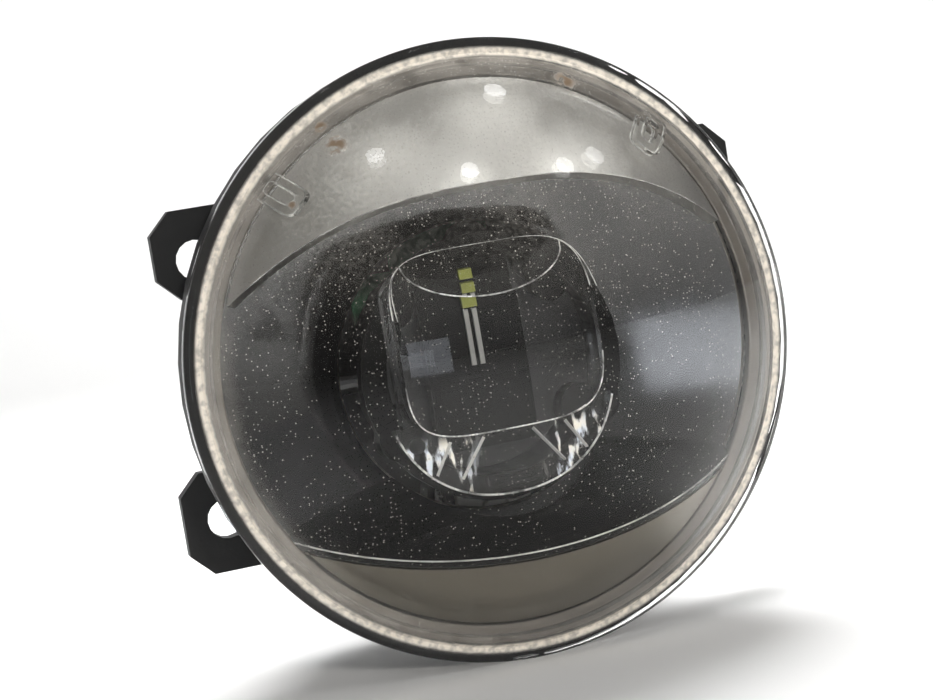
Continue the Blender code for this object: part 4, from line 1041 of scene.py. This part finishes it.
# %% [markdown]
# ## Coloured and pale parts
#
# The rest are small parts of other stuffs: phosphor, nylon, zinc plated steel, brass, a green
# board. Each has two tones that drift into each other, a gloss that drifts too and a light grain.
# A table would hide which number is which, so the values are named in each call.

# %% Coloured and pale parts
def plain_part(name, light, dark, gloss, metallic=0.0, grain=0.0006, depth=0.00001):
    """Part with a drifting colour, gloss and a light grain."""
    finish, tree, shader = new_finish(name, Metallic=metallic)
    tree.links.new(blend(tree, noise(tree, 300.0), light, dark), shader.inputs["Base Color"])
    drifting_gloss(tree, shader, 400.0, *gloss)
    bump(tree, shader, noise(tree, 1.0 / grain, 2.0), depth)
    return finish


phosphor = plain_part("phosphor", light=(0.34, 0.36, 0.07), dark=(0.25, 0.28, 0.08), gloss=(0.5, 0.7))
dress(["led_chip_upper", "led_chip_lower"], phosphor)
# The lead strips' pale tone is a painted reflection: two pale vertical lines behind the optic.
strip_white = plain_part(
    "strip_white", light=(0.42, 0.42, 0.41), dark=(0.30, 0.30, 0.29), gloss=(0.35, 0.5)
)
dress(["lead_strip_left", "lead_strip_right"], strip_white)
board_green = plain_part(
    "board_green", light=(0.03, 0.16, 0.07), dark=(0.02, 0.11, 0.05), gloss=(0.35, 0.5)
)
dress(["driver_board"], board_green)
pad_grey = plain_part("pad_grey", light=(0.45, 0.47, 0.50), dark=(0.38, 0.40, 0.43), gloss=(0.7, 0.9))
dress(["thermal_pad"], pad_grey)
wire_red = plain_part("wire_red", light=(0.50, 0.02, 0.02), dark=(0.40, 0.015, 0.015), gloss=(0.35, 0.5))
dress(["lead_wire_left"], wire_red)
nylon = plain_part("nylon", light=(0.80, 0.79, 0.74), dark=(0.72, 0.70, 0.64), gloss=(0.4, 0.55))
dress(["pivot_bush_left", "pivot_bush_right", "aim_screw", "aim_nut"], nylon)
membrane_white = plain_part("membrane_white", light=(0.86,) * 3, dark=(0.78,) * 3, gloss=(0.8, 0.95))
dress(["vent_membrane"], membrane_white)

# %% Metal parts
SCREWS = [f"shroud_screw_{number}" for number in range(1, 5)]
zinc_steel = plain_part(
    "zinc_steel", light=(0.58, 0.58, 0.58), dark=(0.46, 0.46, 0.47), gloss=(0.25, 0.42), metallic=1.0
)
dress(SCREWS + ["pivot_pin_left", "pivot_pin_right", "aim_screw_clip"], zinc_steel)
terminal_brass = plain_part(
    "terminal_brass", light=(0.72, 0.56, 0.26), dark=(0.60, 0.46, 0.20), gloss=(0.22, 0.38), metallic=1.0
)
dress(["terminal_left", "terminal_right"], terminal_brass)
# The heat sink's dark coat is made darker still as painted shade inside the shroud.
coated_aluminium_and_shade = plain_part(
    "coated_aluminium_and_shade", light=(0.020, 0.020, 0.021), dark=(0.030, 0.030, 0.031), gloss=(0.4, 0.58),
    grain=0.0005, depth=0.00003,
)
dress(["heat_sink"], coated_aluminium_and_shade)

# %% [markdown]
# ## The inner optic
#
# The optic is a thick clear block that shapes the beam: a flange, a barrel with a gently domed
# window, a leaf shaped facet on top and small ribs and a gate mark below. Clear plastic shows
# every facet, so the window is a grid of exact points whose rows follow the ridge between
# window and leaf. The other forms are joined to it with exact Booleans into one skin, because
# overlapping skins would show as cracks inside the block.

# %% Window and leaf grid
OPTIC_BACK = 0.0103
OPTIC_FRONT = 0.0131
OPTIC_APEX = 0.0196
WINDOW_HALF_WIDTH = 0.0160
WINDOW_TOP = 0.0170
WINDOW_BOTTOM = -0.0117
WINDOW_POWER = 4.5
CURVE_WIDE, CURVE_DEEP, CURVE_TALL = 0.0346, 0.0200, 0.0245
LEAF_EDGE_Z = 0.0092
LEAF_FALL = 0.80
RIDGE_RANGE = (LEAF_EDGE_Z - 0.002, 0.022)
WINDOW_COLUMNS = 97
WINDOW_ROWS = 30
LEAF_ROWS = 8


def window_forward(x, z):
    """The domed window, part of an ellipsoid."""
    left_over = np.maximum(1 - (x / CURVE_WIDE) ** 2 - (z / CURVE_TALL) ** 2, 0)
    return OPTIC_APEX - CURVE_DEEP * (1 - np.sqrt(left_over))


def leaf_forward(z):
    """The flat leaf facet that slopes back above the window."""
    return window_forward(0.0, LEAF_EDGE_Z) - LEAF_FALL * (z - LEAF_EDGE_Z)


def block_grid():
    """Rows of points on window and leaf, from the bottom up."""
    x = WINDOW_HALF_WIDTH * np.sin(np.linspace(-np.pi / 2, np.pi / 2, WINDOW_COLUMNS))
    middle, half = (WINDOW_TOP + WINDOW_BOTTOM) / 2, (WINDOW_TOP - WINDOW_BOTTOM) / 2
    rise = half * np.maximum(1 - np.abs(x / WINDOW_HALF_WIDTH) ** WINDOW_POWER, 0) ** (1 / WINDOW_POWER)
    low, high = (np.full(WINDOW_COLUMNS, limit) for limit in RIDGE_RANGE)
    for _ in range(HALVINGS):
        ridge = (low + high) / 2
        above = leaf_forward(ridge) < window_forward(x, ridge)
        low, high = np.where(above, low, ridge), np.where(above, ridge, high)
    ridge = np.clip(ridge, middle - rise, middle + rise)
    window = [middle - rise + (ridge - middle + rise) * t for t in np.linspace(0, 1, WINDOW_ROWS)]
    leaf = [ridge + (middle + rise - ridge) * t for t in np.linspace(0, 1, LEAF_ROWS)[1:]]
    rows = [np.stack([x, -window_forward(x, z), z], 1) for z in window]
    rows += [np.stack([x, -leaf_forward(z), z], 1) for z in leaf]
    return np.array(rows)


window_grid = block_grid()
print("window and leaf grid", window_grid.shape)

# %% Solid forms of the optic
def rough_solid(name, points, faces):
    """A mesh that a Boolean will use."""
    data = bpy.data.meshes.new(name)
    data.from_pydata(points, [], faces)
    tidy = bmesh.new()
    tidy.from_mesh(data)
    bmesh.ops.remove_doubles(tidy, verts=tidy.verts, dist=WELD)
    bmesh.ops.dissolve_degenerate(tidy, edges=tidy.edges, dist=WELD)
    bmesh.ops.recalc_face_normals(tidy, faces=tidy.faces)
    tidy.to_mesh(data)
    tidy.free()
    solid = bpy.data.objects.new(name, data)
    bpy.context.scene.collection.objects.link(solid)
    return solid


def extruded(name, outline, back, front):
    """Extrude an outline of (x, z) points along the lamp's axis."""
    count = len(outline)
    points = [(x, -back, z) for x, z in outline] + [(x, -front, z) for x, z in outline]
    sides = [(k, (k + 1) % count, (k + 1) % count + count, k + count) for k in range(count)]
    return rough_solid(name, points, sides + [tuple(range(count)), tuple(range(count, 2 * count))])


def rounded_outline(half_width, half_height, middle, upper, lower, steps=144):
    """Rounded rectangle with its own power for the upper and the lower half."""
    turn = 2 * np.pi * np.arange(steps) / steps
    power = np.where(np.sin(turn) >= 0, upper, lower)
    wide = np.sign(np.cos(turn)) * np.abs(np.cos(turn)) ** (2 / power)
    tall = np.sign(np.sin(turn)) * np.abs(np.sin(turn)) ** (2 / power)
    return np.stack([half_width * wide, middle + half_height * tall], 1)


def combine(target, tool, operation):
    """Apply one exact Boolean and remove the tool."""
    step = target.modifiers.new(tool.name, "BOOLEAN")
    step.operation = operation
    step.solver = "EXACT"
    step.object = tool
    result = bpy.data.meshes.new_from_object(target.evaluated_get(bpy.context.evaluated_depsgraph_get()))
    target.modifiers.remove(step)
    target.data = result
    bpy.data.objects.remove(tool, do_unlink=True)


# %% Block under the window
BLOCK_SINK = 0.0004

rows, cols = window_grid.shape[:2]
inner_station = (OPTIC_BACK + OPTIC_FRONT) / 2
behind_grid = window_grid.copy()
behind_grid[..., 1] = -inner_station + BLOCK_SINK
block_points = np.concatenate([window_grid.reshape(-1, 3), behind_grid.reshape(-1, 3)])
block_faces = grid_faces(rows, cols, 0, False) + grid_faces(rows, cols, rows * cols, False)
border = [(0, k) for k in range(cols)] + [(i, cols - 1) for i in range(1, rows)]
border += [(rows - 1, k) for k in range(cols - 2, -1, -1)] + [(i, 0) for i in range(rows - 2, 0, -1)]
for (r1, c1), (r2, c2) in zip(border, border[1:] + border[:1]):
    a, b = r1 * cols + c1, r2 * cols + c2
    block_faces.append((a, b, b + rows * cols, a + rows * cols))
optic = rough_solid("optic_block", block_points, block_faces)
print("optic block", len(optic.data.polygons), "faces")

# %% Flange
SHOULDER = 0.0165
LIP_TOP = MODULE_Z - 0.0070
FLANGE_HALF_WIDTH = 0.0188
FLANGE_HALF_HEIGHT = 0.0198
FLANGE_POWERS = (3.2, 2.2)
CUT_SIDE = 0.04
CUT_HEIGHT = 0.06
CUT_DEPTH = 0.05

flange_edge = rounded_outline(FLANGE_HALF_WIDTH, FLANGE_HALF_HEIGHT, MODULE_Z, *FLANGE_POWERS)
flange = extruded("flange", flange_edge, OPTIC_BACK, OPTIC_FRONT)
for side in (-1, 1):
    corner = ((SHOULDER, LIP_TOP), (CUT_SIDE, LIP_TOP), (CUT_SIDE, CUT_SIDE), (SHOULDER, CUT_SIDE))
    beside = extruded("beside", [(side * x, z) for x, z in corner], -CUT_DEPTH, CUT_DEPTH)
    combine(flange, beside, "DIFFERENCE")
slope = math.atan(LEAF_FALL)
above = [(-CUT_SIDE, 0.0), (CUT_SIDE, 0.0), (CUT_SIDE, CUT_HEIGHT), (-CUT_SIDE, CUT_HEIGHT)]
trim = extruded("trim", above, -CUT_DEPTH, CUT_DEPTH)
trim.data.transform(Matrix.Rotation(math.pi / 2 - slope, 4, "X"))
trim.data.transform(Matrix.Translation((0.0, -float(leaf_forward(LEAF_EDGE_Z)), LEAF_EDGE_Z)))
combine(flange, trim, "DIFFERENCE")
combine(optic, flange, "UNION")
print("optic with flange", len(optic.data.polygons), "faces")

# %% Gate, ribs and dot
RIBS = (((0.0094, -0.0126), (0.0123, -0.0174)), ((0.0040, -0.0128), (0.0084, -0.0187)))
RIB_WIDTH = 0.0016
RIB_HEIGHT = 0.0007
DOT_PLACE = (-0.0148, -0.0122)
DOT_RADIUS = 0.0013
DOT_RISE = 0.0003
GATE_HALF_WIDTH = 0.0045
GATE_HALF_HEIGHT = 0.0012
GATE_Z = -0.0199
GATE_RISE = 0.0008
GATE_POWER = 6.0


def rib(start, end):
    """A ridge of triangular section on the flange's face."""
    start, end = Vector(start), Vector(end)
    side = (end - start).orthogonal().normalized() * RIB_WIDTH / 2
    points = []
    for spot in (start, end):
        points += [(*(spot + side), inner_station), (*(spot - side), inner_station)]
        points.append((*spot, OPTIC_FRONT + RIB_HEIGHT))
    faces = [(0, 1, 2), (3, 4, 5), (0, 1, 4, 3), (1, 2, 5, 4), (2, 0, 3, 5)]
    return rough_solid("rib", [(x, -forward, z) for x, z, forward in points], faces)


gate = rounded_outline(GATE_HALF_WIDTH, GATE_HALF_HEIGHT, GATE_Z, GATE_POWER, GATE_POWER, 48)
combine(optic, extruded("gate", gate, inner_station, OPTIC_FRONT + GATE_RISE), "UNION")
for side in (-1, 1):
    for start, end in RIBS:
        combine(optic, rib((side * start[0], start[1]), (side * end[0], end[1])), "UNION")
dot = rounded_outline(DOT_RADIUS, DOT_RADIUS, 0.0, 2.0, 2.0, 32) + DOT_PLACE
combine(optic, extruded("dot", dot, inner_station, OPTIC_FRONT + DOT_RISE), "UNION")
print("joined optic", len(optic.data.polygons), "faces")

# %% Seat the optic
OPTIC_SHARP = 13

optic.data.shade_smooth()
optic.data.set_sharp_from_angle(angle=math.radians(OPTIC_SHARP))
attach(optic, "optic_module")
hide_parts("inner_optic")
print(optic.name, "rides on the tilting module")

# %% [markdown]
# ## Finishes of the optic
#
# The block is polished, its dot and ribs are frosted by the tool, and light caught inside it
# glints in warm and cool streaks in the lower lip, beside the ribs. To trace real glints would
# take far more light paths than a still picture has, so they are streaks of noise, drawn out
# downwards, over the clear finish. Each face gets its finish by where it lies.

# %% Clear and frosted finishes
OPTIC_TINT = (0.985, 0.985, 0.985)

clear_optic = clear_plastic("clear_optic", OPTIC_TINT, OPTIC_IOR, POLISH)
frosted_dot = clear_plastic("frosted_dot", (0.95, 0.95, 0.94), OPTIC_IOR, (0.35, 0.55))
frosted_rib = plain_part("frosted_rib", light=(0.97, 0.96, 0.93), dark=(0.55, 0.55, 0.54), gloss=(0.1, 0.3))
print(clear_optic.name, frosted_dot.name, frosted_rib.name, "made")

# %% Glints in the lower lip
GLINT_WARM = (0.97, 0.93, 0.84)
GLINT_COOL = (0.82, 0.88, 0.98)
GLINT_STRETCH = (1.0, 1.0, 0.3)
GLINT_BESIDE = (0.004, 0.009)
GLINT_BELOW = (-0.0135, -0.0110)

glinting_lip, tree, clear = new_finish(
    "glinting_lip", Base_Color=OPTIC_TINT, IOR=OPTIC_IOR, Transmission_Weight=1.0
)
drifting_gloss(tree, clear, 120.0, *POLISH)
glint = add_node(tree, "ShaderNodeBsdfPrincipled")
glint.inputs["Roughness"].default_value = 0.3
warm_to_cool = remap(tree, noise(tree, 260.0), 0.4, 0.6)
tree.links.new(blend(tree, warm_to_cool, GLINT_WARM, GLINT_COOL), glint.inputs["Base Color"])
drawn_out = add_node(tree, "ShaderNodeMapping")
drawn_out.inputs["Scale"].default_value = GLINT_STRETCH
tree.links.new(place_on_lamp(tree), drawn_out.inputs["Vector"])
streaks = remap(tree, noise(tree, 620.0, 4.0, drawn_out.outputs[0]), 0.52, 0.60)
axes = lamp_axes(tree)
beside = remap(tree, sums(tree, "ABSOLUTE", axes["X"], 0.0), *GLINT_BESIDE)
below = remap(tree, axes["Z"], *GLINT_BELOW, 1.0, 0.0)
lay_over(tree, sums(tree, "MULTIPLY", streaks, sums(tree, "MULTIPLY", beside, below)), clear, glint)
print(glinting_lip.name, "has", len(tree.nodes), "nodes")

# %% Dress the optic
RAISED = 0.0001
LEVEL = 0.00005
FACING = 0.9
RIB_HEIGHTS = (-0.0185, WINDOW_BOTTOM - 0.0008)
DOT_MARGIN = 1.05
CLEAR, FROSTED_DOT, FROSTED_RIB, GLINTING = range(4)


def optic_finish(face):
    """Which of the optic's finishes a face has."""
    forward = -face.center.y
    if forward > OPTIC_FRONT + RAISED:
        if math.dist((face.center.x, face.center.z), DOT_PLACE) < DOT_RADIUS * DOT_MARGIN:
            return FROSTED_DOT
        return FROSTED_RIB if RIB_HEIGHTS[0] < face.center.z < RIB_HEIGHTS[1] else CLEAR
    on_lip = abs(forward - OPTIC_FRONT) < LEVEL and face.normal.y < -FACING
    return GLINTING if on_lip else CLEAR


optic.data.materials.clear()
for finish in (clear_optic, frosted_dot, frosted_rib, glinting_lip):
    optic.data.materials.append(finish)
for face in optic.data.polygons:
    face.material_index = optic_finish(face)
print(sum(face.material_index > CLEAR for face in optic.data.polygons), "frosted or glinting faces")

# %% Painted highlights along the edges of the optic
RIDGE_EDGE_RADIUS = 0.00007
LIP_EDGE_RADIUS = 0.00017
INSIDE_EDGE = slice(2, -2)
ROOT_EDGE = slice(20, -20)

lower, ridge_line, upper = window_grid[0], window_grid[WINDOW_ROWS - 1], window_grid[-1]
root = lower * (1, 0, 1) + (0, -OPTIC_FRONT, 0)
lip = [(x, -OPTIC_FRONT, z) for x, z in flange_edge if z < LIP_TOP]
# Painted highlights along window, ridge, leaf, root and lip edges.
edge_lines = [edge_tube(line) for line in (lower[INSIDE_EDGE], ridge_line[INSIDE_EDGE], root[ROOT_EDGE])]
edge_lines += [edge_tube(upper[INSIDE_EDGE], RIDGE_EDGE_RADIUS), edge_tube(lip, LIP_EDGE_RADIUS)]
edge_piece("optic_edges", edge_lines, "optic_module", painted_edge_highlight)

# %% [markdown]
# ## The solids under the finer pieces
#
# Six solids are replaced by the finer pieces above and don't show. They get the same finishes, so
# that whoever brings them back finds them dressed.

# %% Finish of the replaced solids
REPLACED = {
    "inner_optic": clear_optic,
    "outer_lens": clear_lens,
    "bezel_brow": satin_film,
    "bezel_chin": shaded_chin_film,
    "bezel_bowl": dark_film,
    "bezel_shelf": gloss_black,
}
for name, finish in REPLACED.items():
    dress([name], finish)
